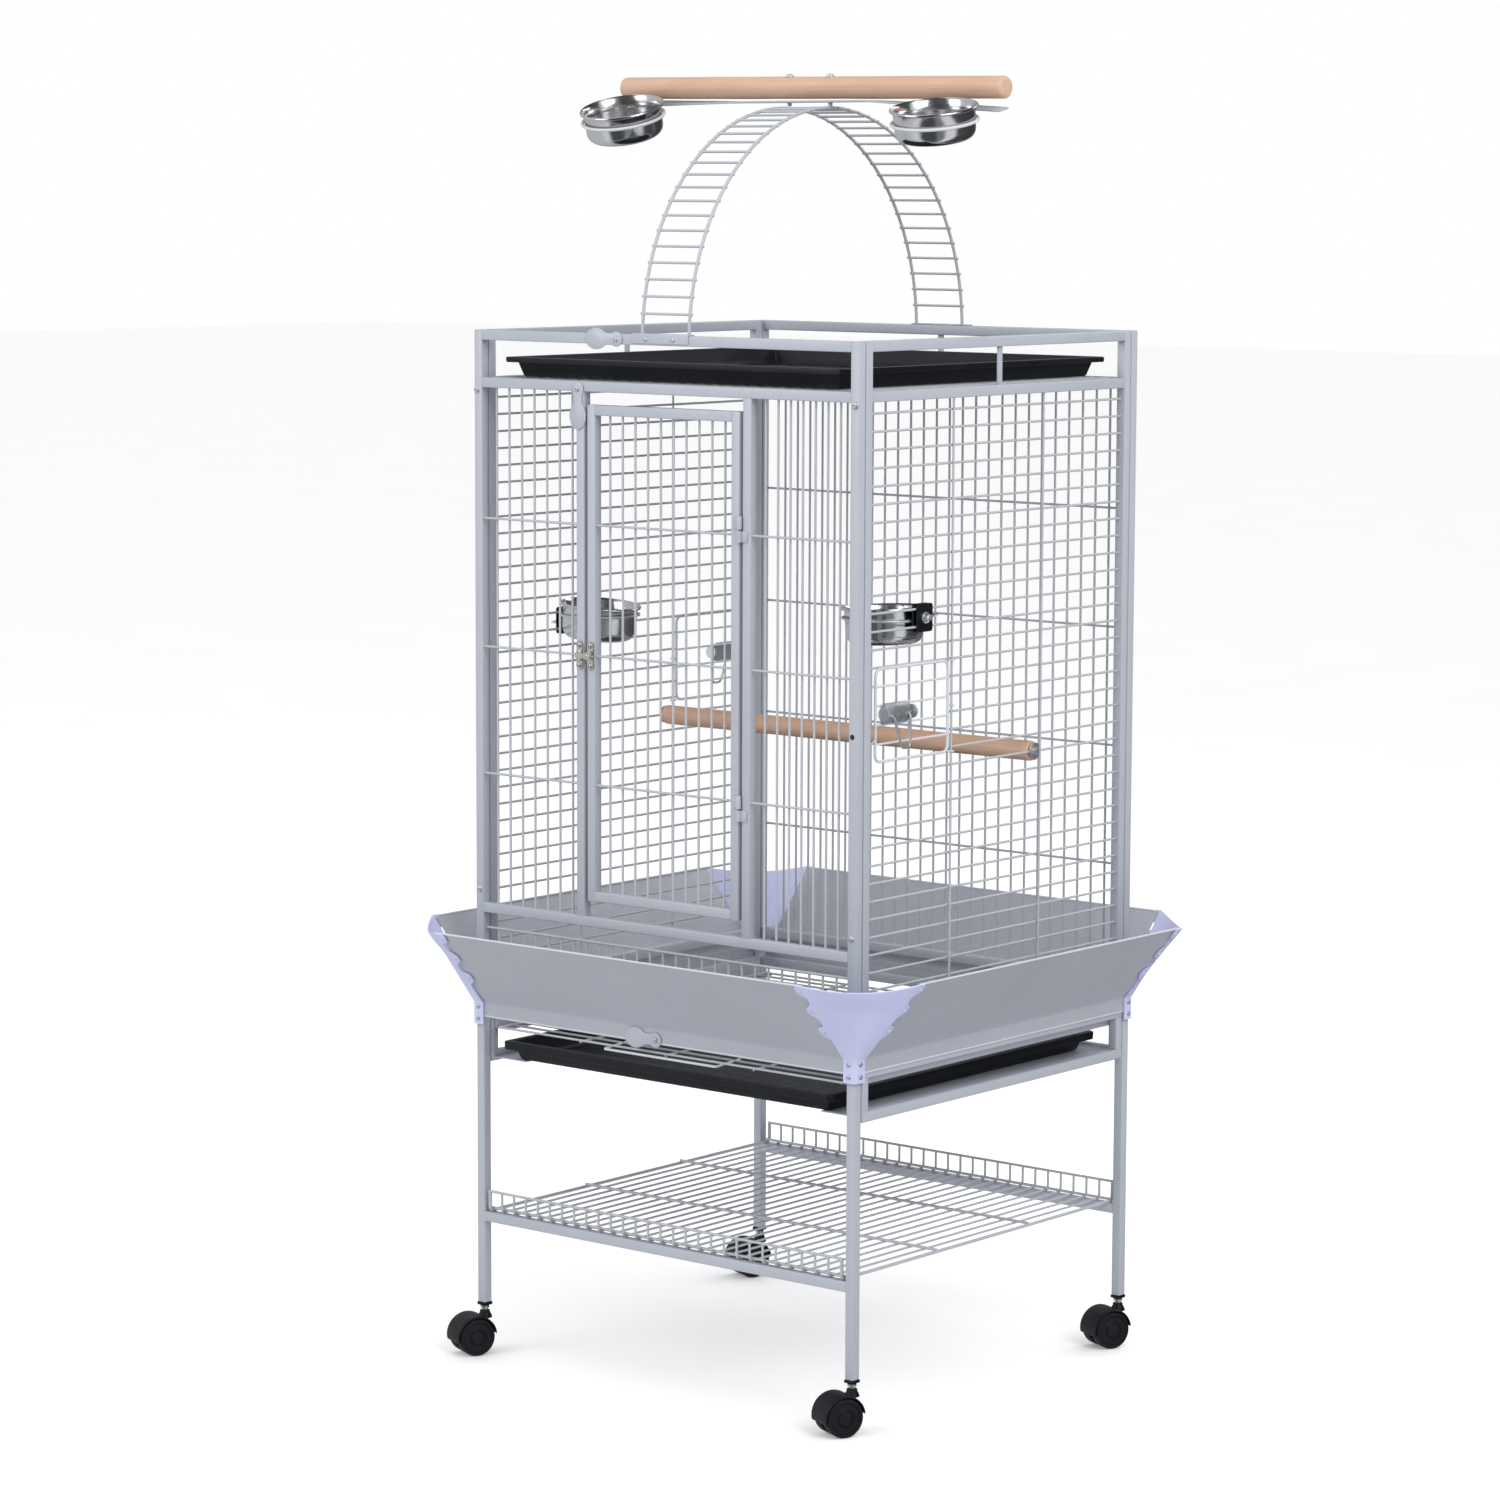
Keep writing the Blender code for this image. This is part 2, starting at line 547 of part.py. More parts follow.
def side_panel(name, s):
    """s = +1 is the right panel; the left one is the same panel turned half round."""
    bx = []
    x0, x1 = HX - TUBE, HX
    for sy in (-1, 1):
        bx.append((x0, x1) + tuple(sorted((sy * SY, sy * (SY - TUBE)))) + (Z_LEG1 + GAP, Z_RIM))
    for z in (Z_DECK_HI, Z_DECK_LO, Z_HIDDEN_RAIL):
        bx.append((x0, x1, -(SY - TUBE), SY - TUBE, z, z + TUBE))
    bx.append((SX0, SX1, -5 * MM, 5 * MM, Z_DECK_LO + TUBE, Z_DECK_HI))
    for k in range(ROW_COUNT):
        z = ROW_TOP - k * ROW_PITCH
        ya = -(SY - TUBE)
        if FEED_Z0 - 2 * MM < z < FEED_Z1 - 2 * MM:
            ya = -FEED_HINGE_Y - WIRE / 2
        bx.append((SX0, SX1, ya, SY - TUBE, z - WIRE / 2, z + WIRE / 2))
    bm = cells(bx)
    if s < 0:
        bmesh.ops.rotate(bm, verts=bm.verts, cent=(0, 0, 0), matrix=Matrix.Rotation(math.pi, 3, 'Z'))
    finish(name, bm, "paint")


side_panel("side_panel_right", 1)
side_panel("side_panel_left", -1)


def hinge_wire(name, s):
    xw = SX1 + 0.3 * MM + WIRE / 2
    bm = lathe([(0, Z_HIDDEN_RAIL + TUBE + GAP), (WIRE / 2, Z_HIDDEN_RAIL + TUBE + GAP),
                (WIRE / 2, Z_DECK_LO - GAP), (0, Z_DECK_LO - GAP)], 8,
               Matrix.Translation((s * xw, -s * FEED_HINGE_Y, 0)))
    finish(name, bm, "wirepaint", smooth=True, angle=50)
    return xw


WIRE_X = hinge_wire("feeder_hinge_wire_right", 1)
hinge_wire("feeder_hinge_wire_left", -1)

# ---------------------------------------------------------------- front door
dx0, dx1 = DOOR_CX - DOOR_HALF, DOOR_CX + DOOR_HALF
yo, yi = -HY, -HY + TUBE
DOOR_AXIS = (DOOR_CX + DOOR_OPEN_HALF - 3.0 * MM, -HY - 2.5 * MM)
bx = [box(dx0, dx0 + TUBE, yo, yi, DOOR_Z0, DOOR_Z1), box(dx1 - TUBE, dx1, yo, yi, DOOR_Z0, DOOR_Z1),
      box(dx0, dx1, yo, yi, DOOR_Z0, DOOR_Z0 + TUBE), box(dx0, dx1, yo, yi, DOOR_Z1 - TUBE, DOOR_Z1)]
bx += bars(DOOR_BAR_X0, DOOR_BAR_PITCH, DOOR_BARS, FB0, FB1, DOOR_Z0 + TUBE, DOOR_Z1 - TUBE)
for z in HINGE_Z:
    bx.append(box(dx1 - 3 * MM, dx1 + 2.5 * MM, yo - 3.5 * MM, yo, z + 1 * MM, z + 16 * MM))
finish("front_door", cells(bx), "paint", origin=(DOOR_AXIS[0], DOOR_AXIS[1], DOOR_Z0))

# turn latch on the door's free stile and its keeper on the post
LATCH_Z = 908.0 * MM
LATCH_X = dx0 + TUBE / 2


def keeper():
    x0, x1 = POST_L - TUBE + 0.5 * MM, POST_L - 0.5 * MM
    b = [(x0, x1, -HY - 1.8 * MM, -HY - GAP, LATCH_Z - 15 * MM, LATCH_Z + 15 * MM),
         (x0 + 2 * MM, x1 - 2 * MM, -HY - 4.5 * MM, -HY - 1.8 * MM, LATCH_Z + 6 * MM, LATCH_Z + 12 * MM),
         (x0 + 2 * MM, x1 - 2 * MM, -HY - 4.5 * MM, -HY - 1.8 * MM, LATCH_Z - 12 * MM, LATCH_Z - 6 * MM)]
    finish("latch_keeper", cells(b), "nickel")


keeper()


def latch_turn():
    """Butterfly shaped turn piece; the tongue reaches over the keeper."""
    y0, y1 = -HY - 7.0 * MM, -HY - 5.2 * MM
    b = [(LATCH_X - 4 * MM, LATCH_X + 4 * MM, y0, y1, LATCH_Z - 13 * MM, LATCH_Z + 13 * MM),
         (LATCH_X - 20 * MM, LATCH_X - 4 * MM, y0, y1, LATCH_Z - 4 * MM, LATCH_Z + 4 * MM),
         (LATCH_X + 4 * MM, LATCH_X + 9 * MM, y0, y1, LATCH_Z - 4 * MM, LATCH_Z + 4 * MM),
         (LATCH_X - 3 * MM, LATCH_X + 3 * MM, y1, -HY - GAP, LATCH_Z - 3 * MM, LATCH_Z + 3 * MM)]
    finish("door_latch", cells(b), "nickel", origin=(LATCH_X, y0, LATCH_Z))


latch_turn()


# ---------------------------------------------------------------- locking flaps
def flap(name, px, py, pz, angle_deg):
    """Two-lobed plate that turns on one screw; angle is measured from hanging down."""
    pts = []
    r0, r1, drop = 9.0 * MM, 13.0 * MM, 33.0 * MM
    steps = 7
    a0, a1 = math.radians(38), math.radians(50)
    for i in range(steps + 1):
        a = (math.pi + a0) + (-math.pi - 2 * a0) * i / steps
        pts.append((r0 * math.cos(a), r0 * math.sin(a)))
    for i in range(steps + 3):
        a = (math.pi / 2 - a1) + (-2 * math.pi + 2 * a1) * i / (steps + 2)
        pts.append((r1 * math.cos(a), -drop + r1 * 1.3 * math.sin(a)))
    ca, sa = math.cos(math.radians(angle_deg)), math.sin(math.radians(angle_deg))

    def place(u, v, w):
        return (px + u * ca - v * sa, py + w, pz + u * sa + v * ca)

    finish(name, prism(pts, 0.0, -1.6 * MM, place), "paint", origin=(px, py, pz))


FLAP_Y = -HY - GAP
flap("flap_play_top", -68.5 * MM, FLAP_Y, 1297.0 * MM, -90)
flap("flap_door", -131.6 * MM, FLAP_Y, 1235.0 * MM, 0)
flap("flap_tray", -3.5 * MM, -HY - 1.6 * MM - GAP, 442.0 * MM, -90)


# ---------------------------------------------------------------- ladder arch
def ladder():
    seg = ARCH_RUNGS // 2
    step = math.pi / seg
    half = 2.0 * MM

    def node(i, r):
        th = step * i
        c, s = math.cos(th), math.sin(th)
        n = Vector((0, -c / ARCH_A, s / ARCH_B))
        n.normalize()
        m = 1.0 / math.cos(step / 2)
        return Vector((0, -ARCH_A * c, ARCH_Z + ARCH_B * s)) + n * (r * m)

    def fn(s, x, r):
        i = min(int(math.floor(s + 1e-9)), seg - 1)
        f = s - i
        p = node(i, r).lerp(node(i + 1, r), f)
        return (x, p.y, p.z)

    mid = seg / 2.0
    w = 0.5 * WIRE / (step * (ARCH_A + ARCH_B) / 2)
    xi = ARCH_HALF_W - half
    # the front and the back half meet at the top, under the cross bar
    for name, sy, s0, s1 in (("ladder_front", -1, 0.30, mid - 0.004), ("ladder_back", 1, mid + 0.004, seg - 0.30)):
        b = []
        spans = [s0] + [float(i) for i in range(1, seg) if s0 < i < s1] + [s1]
        for sx in (-1, 1):
            xa, xb = sorted((sx * (ARCH_HALF_W - half), sx * (ARCH_HALF_W + half)))
            for a, c in zip(spans[:-1], spans[1:]):
                b.append((a, c, xa, xb, -half, half))
        for k in range(1, ARCH_RUNGS - 1):
            s = (k + 0.5) / 2.0
            if s0 < s < s1:
                b.append((s - w, s + w, -xi, xi, -WIRE / 2, WIRE / 2))
        # foot plate: flat on the rim with a lip down its outer face
        parts = [cells(b, fn)]
        fb = [(-45 * MM, 45 * MM) + tuple(sorted((sy * (HY + 1.5 * MM), sy * (HY - TUBE + 1 * MM)))) +
              (Z_RIM + GAP, Z_RIM + GAP + 1.5 * MM),
              (-45 * MM, 45 * MM) + tuple(sorted((sy * (HY + 1.5 * MM), sy * (HY + GAP)))) +
              (Z_RIM - 11 * MM, Z_RIM + GAP + 1.5 * MM)]
        for sx in (-1, 1):
            xa, xb = sorted((sx * (ARCH_HALF_W - 3 * MM), sx * (ARCH_HALF_W + 3 * MM)))
            ya, yb = sorted((sy * (ARCH_A - 3 * MM + 0.5 * MM), sy * (ARCH_A + 3 * MM)))
            fb.append((xa, xb, ya, yb, Z_RIM + GAP + 1.5 * MM, Z_RIM + 9 * MM))
        parts.append(cells(fb))
        finish(name, union(name, parts), "wirepaint")


ladder()

# ---------------------------------------------------------------- perches and cross bar
PERCH_R = 14.0 * MM
PERCH_Z = 1603.0 * MM
PERCH_TILT = 0.0074          # radians, the top perch's left end sits a little higher
TOP_CX = 2.3 * MM
PERCH_HALF = 303.3 * MM
BOLT_X = (-30.5 * MM, 34.5 * MM)


def perch(name, cx, y, z, half, r, round_end, seg=18, bolts=(), tilt=0.0):
    prof = [(0, -half), (r - round_end, -half), (r, -half + round_end), (r, half - round_end),
            (r - round_end, half), (0, half)]
    lean = Matrix.Translation((cx, y, z)) @ Matrix.Rotation(tilt, 4, 'Y')
    bm = lathe(prof, seg, lean @ Matrix.Rotation(math.pi / 2, 4, 'Y'))
    if bolts:
        heads = [lathe([(0, -4 * MM), (4.5 * MM, -4 * MM), (4.5 * MM, 2.2 * MM), (2.5 * MM, 3.2 * MM), (0, 3.2 * MM)],
                       10, lean @ Matrix.Translation((b - cx, 0, r))) for b in bolts]
        bm = union(name, [bm] + heads)
    finish(name, bm, "wood", smooth=True, angle=35)


perch("perch_top", TOP_CX, 0.0, PERCH_Z, PERCH_HALF, PERCH_R, 4 * MM, bolts=BOLT_X, tilt=PERCH_TILT)
BAR_Z1 = 1587.2 * MM
BAR_Z0 = BAR_Z1 - 2.6 * MM
BAR_FLAT = 100.0 * MM        # half of the bar's straight middle
BAR_FULL = 240.0 * MM        # beyond this the bar keeps its full twist
BAR_HALF = 301.5 * MM
BAR_DROOP = (0.5 * MM, 11.8 * MM)     # left end, right end
BOWL_LEAN = (17.2, 12.0)              # degrees forward, left bowl and right bowl
BOWL_ROLL = (3.7, 3.4)


def bar_bend(x):
    """(drop of the bar below its middle, its forward twist in radians) at x."""
    side = 0 if x < 0 else 1
    a = max(0.0, abs(x) - BAR_FLAT)
    drop = BAR_DROOP[side] * a / (BAR_HALF - BAR_FLAT)
    return drop, math.radians(BOWL_LEAN[side]) * min(1.0, a / (BAR_FULL - BAR_FLAT))


def cross_bar():
    mid = (BAR_Z0 + BAR_Z1) / 2

    def bend(x, y, z):
        drop, tw = bar_bend(x)
        h = z - mid
        return (x, y * math.cos(tw) - h * math.sin(tw), mid - drop + y * math.sin(tw) + h * math.cos(tw))

    cuts = [-BAR_HALF, -BAR_FULL, -193 * MM, -147 * MM, -BAR_FLAT, BAR_FLAT, 147 * MM, 193 * MM, BAR_FULL, BAR_HALF]
    b = [box(a, c, -10 * MM, 10 * MM, BAR_Z0, BAR_Z1) for a, c in zip(cuts[:-1], cuts[1:])]
    strip = cells(b, bend)
    # bolt ends that stand on the arch
    ends = [lathe([(0, ARCH_TOP + GAP), (3.6 * MM, ARCH_TOP + GAP), (3.6 * MM, BAR_Z0 + 1 * MM), (0, BAR_Z0 + 1 * MM)],
                  10, Matrix.Translation((x, 0, 0))) for x in BOLT_X]
    finish("cross_bar", union("cross_bar", [strip] + ends), "paint")


ARCH_TOP = ARCH_Z + ARCH_B + 2.0 * MM
cross_bar()
perch("perch_inner", 0.0, 78 * MM, 790 * MM, 296.8 * MM, 12.5 * MM, 2 * MM)


# ---------------------------------------------------------------- bowls and their rings
def bowl(name, cx, cy, z_rim, r_rim, depth, tilt_x, tilt_y, drop, seg=24):
    """Deep bowl; drop is how far its ring lies below the rim."""
    t = 1.1 * MM
    rb = r_rim - 4.2 * MM
    outer = [(rb * 0.78, -depth), (rb * 0.93, -depth * 0.90), (rb * 0.985, -depth * 0.72), (rb, -3 * MM)]
    prof = [(0, -depth)] + outer
    prof += [(r_rim, -1.5 * MM), (r_rim, 0), (rb - t, -0.6 * MM)]
    prof += [(rb * 0.985 - t, -depth * 0.72 + t * 0.3), (rb * 0.93 - t * 0.8, -depth * 0.90 + t * 0.7),
             (rb * 0.78 - t * 0.4, -depth + t), (0, -depth + t)]
    place = (Matrix.Translation((cx, cy, z_rim - drop)) @ Matrix.Rotation(math.radians(tilt_x), 4, 'X')
             @ Matrix.Rotation(math.radians(tilt_y), 4, 'Y') @ Matrix.Translation((0, 0, drop)))
    finish(name, lathe(prof, seg, place), "steel", smooth=True, angle=35)
    return place


def ring_cells(r_in, r_out, z0, z1, tab_r, tab_deg, tab_half_deg, seg=24):
    """Ring with one flat tab, in polar grid space."""
    step = 2 * math.pi / seg
    mid = math.radians(tab_deg)
    bm = bmesh.new()
    layers = {}
    ks = []
    for i in range(seg):
        ks.append(mid + (i + 0.5) * step)

    def ring(r, z):
        return [bm.verts.new((r * math.cos(a), r * math.sin(a), z)) for a in ks]
    a0, a1 = ring(r_in, z0), ring(r_in, z1)
    b0, b1 = ring(r_out, z0), ring(r_out, z1)
    dirv = (math.cos(mid), math.sin(mid))
    for i in range(seg):
        j = (i + 1) % seg
        bm.faces.new((a0[i], a1[i], a1[j], a0[j]))
        bm.faces.new((a1[i], b1[i], b1[j], a1[j]))
        bm.faces.new((b0[i], a0[i], a0[j], b0[j]))
        if i == seg - 1:
            # tab grows from this outer facet
            c = []
            for v in (b0[i], b0[j], b1[j], b1[i]):
                k = tab_r - (v.co.x * dirv[0] + v.co.y * dirv[1])
                c.append(bm.verts.new((v.co.x + dirv[0] * k, v.co.y + dirv[1] * k, v.co.z)))
            o = (b0[i], b0[j], b1[j], b1[i])
            for q in range(4):
                w = (q + 1) % 4
                bm.faces.new((o[q], o[w], c[w], c[q]))
            bm.faces.new(c)
        else:
            bm.faces.new((b1[i], b0[i], b0[j], b1[j]))
    return bm


def top_bowl(tag, side, cx, z_rim, drop, depth, tab):
    """Bowl and ring leaning with the twisted bar; the ring's tab meets the bar's front edge."""
    place = bowl("top_bowl_" + tag, cx, -73 * MM, z_rim, 54 * MM, depth, BOWL_LEAN[side], BOWL_ROLL[side], drop)
    bm = ring_cells(50.4 * MM, 54.4 * MM, -drop - 2.1 * MM, -drop + 2.1 * MM, tab, 90, 0)
    bmesh.ops.transform(bm, matrix=place, verts=bm.verts)
    finish("bowl_ring_" + tag, bm, "wirepaint")


top_bowl("left", 0, -241.5 * MM, 1581.7 * MM, 15.5 * MM, 41.5 * MM, 64.9 * MM)
top_bowl("right", 1, 252.5 * MM, 1578.0 * MM, 18.6 * MM, 41.5 * MM, 63.4 * MM)


def inner_bowl(tag, s, cy, z_rim, tilt):
    cx = s * 241 * MM
    place = bowl("feed_bowl_" + tag, cx, cy, z_rim, 52 * MM, 45 * MM, 0.0, tilt, 14.3 * MM)
    bm = ring_cells(48.7 * MM, 51.6 * MM, -16 * MM, -12.6 * MM, 53.5 * MM, 0 if s > 0 else 180, 0)
    bmesh.ops.transform(bm, matrix=Matrix.Translation((cx, cy, z_rim)), verts=bm.verts)
    zc = z_rim - 14.3 * MM
    # clamp: inner plate, screw between two wires, outer plate
    k = round((ROW_TOP - zc) / ROW_PITCH - 0.5)
    zs = ROW_TOP - (k + 0.5) * ROW_PITCH
    xa = HX - TUBE / 2 - WIRE / 2
    b = [(xa - 3.3 * MM, xa - 0.8 * MM, cy - 15 * MM, cy + 15 * MM, zs - 17 * MM, zs + 17 * MM),
         (xa - 0.8 * MM, xa + WIRE + 0.8 * MM, cy - 3 * MM, cy + 3 * MM, zs - 3 * MM, zs + 3 * MM),
         (xa + WIRE + 0.8 * MM, xa + WIRE + 3.2 * MM, cy - 15 * MM, cy + 15 * MM, zs - 17 * MM, zs + 17 * MM),
         (xa + WIRE + 3.2 * MM, xa + WIRE + 8 * MM, cy - 3 * MM, cy + 3 * MM, zs - 3 * MM, zs + 3 * MM)]
    if s < 0:
        b = [(-q[1], -q[0]) + q[2:] for q in b]
    finish("feed_bowl_holder_" + tag, union("holder" + tag, [cells(b), bm]), "zinc")


inner_bowl("left", -1, -119 * MM, 954 * MM, 5.0)
inner_bowl("right", 1, -150 * MM, 982 * MM, -2.0)


# ---------------------------------------------------------------- feeder doors
def feeder(tag, s):
    x0, x1 = WIRE_X - WIRE / 2, WIRE_X + WIRE / 2
    ya, yb = -246 * MM, -(FEED_HINGE_Y + 5.5 * MM)
    f = 3.6 * MM
    b = [(x0, x1, ya, ya + f, FEED_Z0, FEED_Z1), (x0, x1, yb - f, yb, FEED_Z0, FEED_Z1),
         (x0, x1, ya, yb, FEED_Z0, FEED_Z0 + f), (x0, x1, ya, yb, FEED_Z1 - f, FEED_Z1)]
    rows = 5
    for i in range(1, rows):
        z = FEED_Z0 + (FEED_Z1 - FEED_Z0) * i / rows
        b.append((x0, x1, ya, yb, z - WIRE / 2, z + WIRE / 2))
    # short hinge tabs reaching to the wire
    for z in (FEED_Z0, FEED_Z1 - f):
        b.append((x0, x1, yb, -(FEED_HINGE_Y + WIRE / 2 + 0.5 * MM), z, z + f))
    bm = cells(b)
    # sheet latch body on the free end
    lx = x1 + GAP
    lz0, lz1 = 850 * MM, 877 * MM
    ly0, ly1 = -238 * MM, -181 * MM
    lb = [(lx, lx + 1.3 * MM, ly0, ly1, lz0, lz1),
          (lx + 1.3 * MM, lx + 8.5 * MM, ly0, ly0 + 1.5 * MM, lz0 + 3 * MM, lz1 - 3 * MM),
          (lx + 1.3 * MM, lx + 8.5 * MM, ly1 - 1.5 * MM, ly1, lz0 + 3 * MM, lz1 - 3 * MM)]
    bl = cells(lb)
    # bail: a wire loop hanging from a rod between the lugs
    rx = lx + 5.0 * MM
    rz = 863.5 * MM
    h = WIRE / 2
    bb = [(rx - h, rx + h, ly0 + 1.9 * MM, ly1 - 1.9 * MM, rz - h, rz + h),
          (rx - h, rx + h, -223.5 * MM, -220.5 * MM, 822 * MM, rz - h),
          (rx - h, rx + h, -191.5 * MM, -188.5 * MM, 822 * MM, rz - h),
          (rx - h, rx + h, -223.5 * MM, -188.5 * MM, 819 * MM, 822 * MM)]
    bbm = cells(bb)
    if s < 0:
        for m in (bm, bl, bbm):
            bmesh.ops.rotate(m, verts=m.verts, cent=(0, 0, 0), matrix=Matrix.Rotation(math.pi, 3, 'Z'))
    axis = (s * WIRE_X, -s * FEED_HINGE_Y, FEED_Z0)
    finish("feeder_door_" + tag, bm, "wirepaint", origin=axis)
    finish("feeder_latch_plate_" + tag, bl, "zinc", origin=axis)
    finish("feeder_latch_bail_" + tag, bbm, "zinc", origin=(s * rx, s * ly0, rz))


feeder("right", 1)
feeder("left", -1)


# ---------------------------------------------------------------- casters
def caster(tag, sx, sy):
    px, py = sx * (HX - TUBE / 2), sy * (HY - TUBE / 2)
    turn = math.radians(CASTER_TURN)
    ax = Vector((math.cos(turn), math.sin(turn), 0))          # axle direction
    trail = Vector((math.sin(turn), -math.cos(turn), 0))      # wheels trail this way
    cz = CASTER_R
    centre = Vector((px, py, 0)) + trail * CASTER_OFF
    # black end plug with its steel stem
    z0, z1 = 62 * MM, Z_LEG0 - GAP
    h = TUBE / 2 + 0.6 * MM
    plug = cells([(px - h, px + h, py - h, py + h, z0, z1)])
    stem = lathe([(0, 55.4 * MM), (4 * MM, 55.4 * MM), (4 * MM, z0 + 1 * MM), (0, z0 + 1 * MM)], 12,
                 Matrix.Translation((px, py, 0)))
    finish("caster_plug_" + tag, union("plug" + tag, [plug, stem]), "black", origin=(px, py, z0))
    # hood: a fender over both wheels with a middle web and a neck
    n = 8
    a0, a1 = math.radians(8), math.radians(192)

    def polar(a, r, w):
        p = centre + trail * (-r * math.cos(a)) + ax * w
        return (p.x, p.y, cz + r * math.sin(a))

    b = []
    for i in range(n):
        ta, tb = a0 + (a1 - a0) * i / n, a0 + (a1 - a0) * (i + 1) / n
        b.append((ta, tb, 25.4 * MM, 27.6 * MM, -19.5 * MM, 19.5 * MM))
        b.append((ta, tb, 5.2 * MM, 27.6 * MM, -2.9 * MM, 2.9 * MM))
    hood = cells(b, polar)

    def local(u, v, w):
        p = Vector((px, py, 0)) + trail * u + ax * v
        return (p.x, p.y, w)

    neck = cells([(-8 * MM, 8 * MM, -2.8 * MM, 2.8 * MM, 41 * MM, 53 * MM)], local)
    head = lathe([(0, 51.8 * MM), (6.4 * MM, 51.8 * MM), (6.4 * MM, 55 * MM), (0, 55 * MM)], 12,
                 Matrix.Translation((px, py, 0)))
    finish("caster_hood_" + tag, union("hood" + tag, [hood, neck, head]), "black",
           origin=(px, py, 55 * MM), smooth=True, angle=35)
    # twin wheels on one axle
    prof = [(0, -19.2 * MM), (22.6 * MM, -19.2 * MM), (CASTER_R, -17.8 * MM), (CASTER_R, -3.8 * MM),
            (4 * MM, -3.8 * MM), (4 * MM, 3.8 * MM), (CASTER_R, 3.8 * MM), (CASTER_R, 17.8 * MM),
            (22.6 * MM, 19.2 * MM), (0, 19.2 * MM)]
    rot = Matrix.Rotation(turn, 4, 'Z') @ Matrix.Rotation(math.pi / 2, 4, 'Y')
    place = Matrix.Translation((centre.x, centre.y, cz)) @ rot
    finish("caster_wheels_" + tag, lathe(prof, 20, place), "black", origin=(centre.x, centre.y, cz),
           smooth=True, angle=35)


caster("fl", -1, -1)
caster("fr", 1, -1)
caster("br", 1, 1)
caster("bl", -1, 1)
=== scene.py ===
import math
import json

import bpy
from mathutils import Vector, Matrix


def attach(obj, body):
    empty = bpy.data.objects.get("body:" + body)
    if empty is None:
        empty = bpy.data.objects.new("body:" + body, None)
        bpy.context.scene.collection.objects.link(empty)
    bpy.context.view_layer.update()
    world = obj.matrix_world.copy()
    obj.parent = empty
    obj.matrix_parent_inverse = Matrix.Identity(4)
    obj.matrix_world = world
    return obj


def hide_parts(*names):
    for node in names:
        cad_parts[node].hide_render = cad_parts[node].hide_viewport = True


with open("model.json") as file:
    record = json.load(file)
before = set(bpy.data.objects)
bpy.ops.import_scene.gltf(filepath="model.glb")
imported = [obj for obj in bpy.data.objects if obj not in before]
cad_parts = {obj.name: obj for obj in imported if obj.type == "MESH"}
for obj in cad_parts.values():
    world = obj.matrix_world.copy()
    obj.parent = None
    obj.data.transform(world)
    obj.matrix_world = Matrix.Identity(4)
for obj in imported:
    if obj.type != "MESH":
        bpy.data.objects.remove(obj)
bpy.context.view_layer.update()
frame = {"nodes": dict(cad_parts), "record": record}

MM = 0.001
HX, HY, T = 0.305, 0.283, 0.0127
SY = HY - T - 0.0015
R = 0.0015
Z_RIM = 1303.3 * MM
DECK_HI, DECK_LO, CAGE_RAIL, HIDDEN = 1290.6 * MM, 1231.8 * MM, 570.5 * MM, 470 * MM
DOOR_CX = 3.5 * MM
POST_L, POST_R = DOOR_CX - 0.126, DOOR_CX + 0.126
DX0, DX1, DZ0, DZ1 = DOOR_CX - 0.121, DOOR_CX + 0.121, 0.603, 1.216
AXIS = (DOOR_CX + 0.123, -HY - 0.0025)
HINGES = (0.739, 1.075)


# ------------------------------------------------------------------ materials
def new_mat(name):
    m = bpy.data.materials.new(name)
    m.use_nodes = True
    nt = m.node_tree
    nt.nodes.clear()
    out = nt.nodes.new("ShaderNodeOutputMaterial")
    b = nt.nodes.new("ShaderNodeBsdfPrincipled")
    nt.links.new(b.outputs[0], out.inputs[0])
    return m, nt, b


def coords(nt, scale=(1, 1, 1)):
    tc = nt.nodes.new("ShaderNodeTexCoord")
    mp = nt.nodes.new("ShaderNodeMapping")
    mp.inputs["Scale"].default_value = scale
    nt.links.new(tc.outputs["Object"], mp.inputs["Vector"])
    return mp.outputs["Vector"]


def noise(nt, vec, scale, detail=4.0, rough=0.5, dist=0.0):
    n = nt.nodes.new("ShaderNodeTexNoise")
    n.inputs["Scale"].default_value = scale
    n.inputs["Detail"].default_value = detail
    n.inputs["Roughness"].default_value = rough
    n.inputs["Distortion"].default_value = dist
    nt.links.new(vec, n.inputs["Vector"])
    return n.outputs["Fac"]


def ramp(nt, fac, stops):
    r = nt.nodes.new("ShaderNodeValToRGB")
    el = r.color_ramp.elements
    while len(el) < len(stops):
        el.new(0.5)
    for e, (p, c) in zip(el, stops):
        e.position = p
        e.color = (c[0], c[1], c[2], 1.0)
    nt.links.new(fac, r.inputs["Fac"])
    return r.outputs["Color"]


def mapr(nt, fac, a, b, lo=0.3, hi=0.7):
    r = nt.nodes.new("ShaderNodeMapRange")
    r.inputs["From Min"].default_value = lo
    r.inputs["From Max"].default_value = hi
    r.inputs["To Min"].default_value = a
    r.inputs["To Max"].default_value = b
    nt.links.new(fac, r.inputs["Value"])
    return r.outputs["Result"]


def bump(nt, b, height, strength, dist):
    n = nt.nodes.new("ShaderNodeBump")
    n.inputs["Strength"].default_value = strength
    n.inputs["Distance"].default_value = dist
    nt.links.new(height, n.inputs["Height"])
    nt.links.new(n.outputs["Normal"], b.inputs["Normal"])


def mix(nt, fac, a, b, mode='MIX'):
    n = nt.nodes.new("ShaderNodeMix")
    n.data_type = 'RGBA'
    n.blend_type = mode
    nt.links.new(fac, n.inputs["Factor"])
    nt.links.new(a, n.inputs["A"])
    nt.links.new(b, n.inputs["B"])
    return n.outputs["Result"]


def tint(c, k):
    return tuple(min(1.0, max(0.0, v * k)) for v in c)


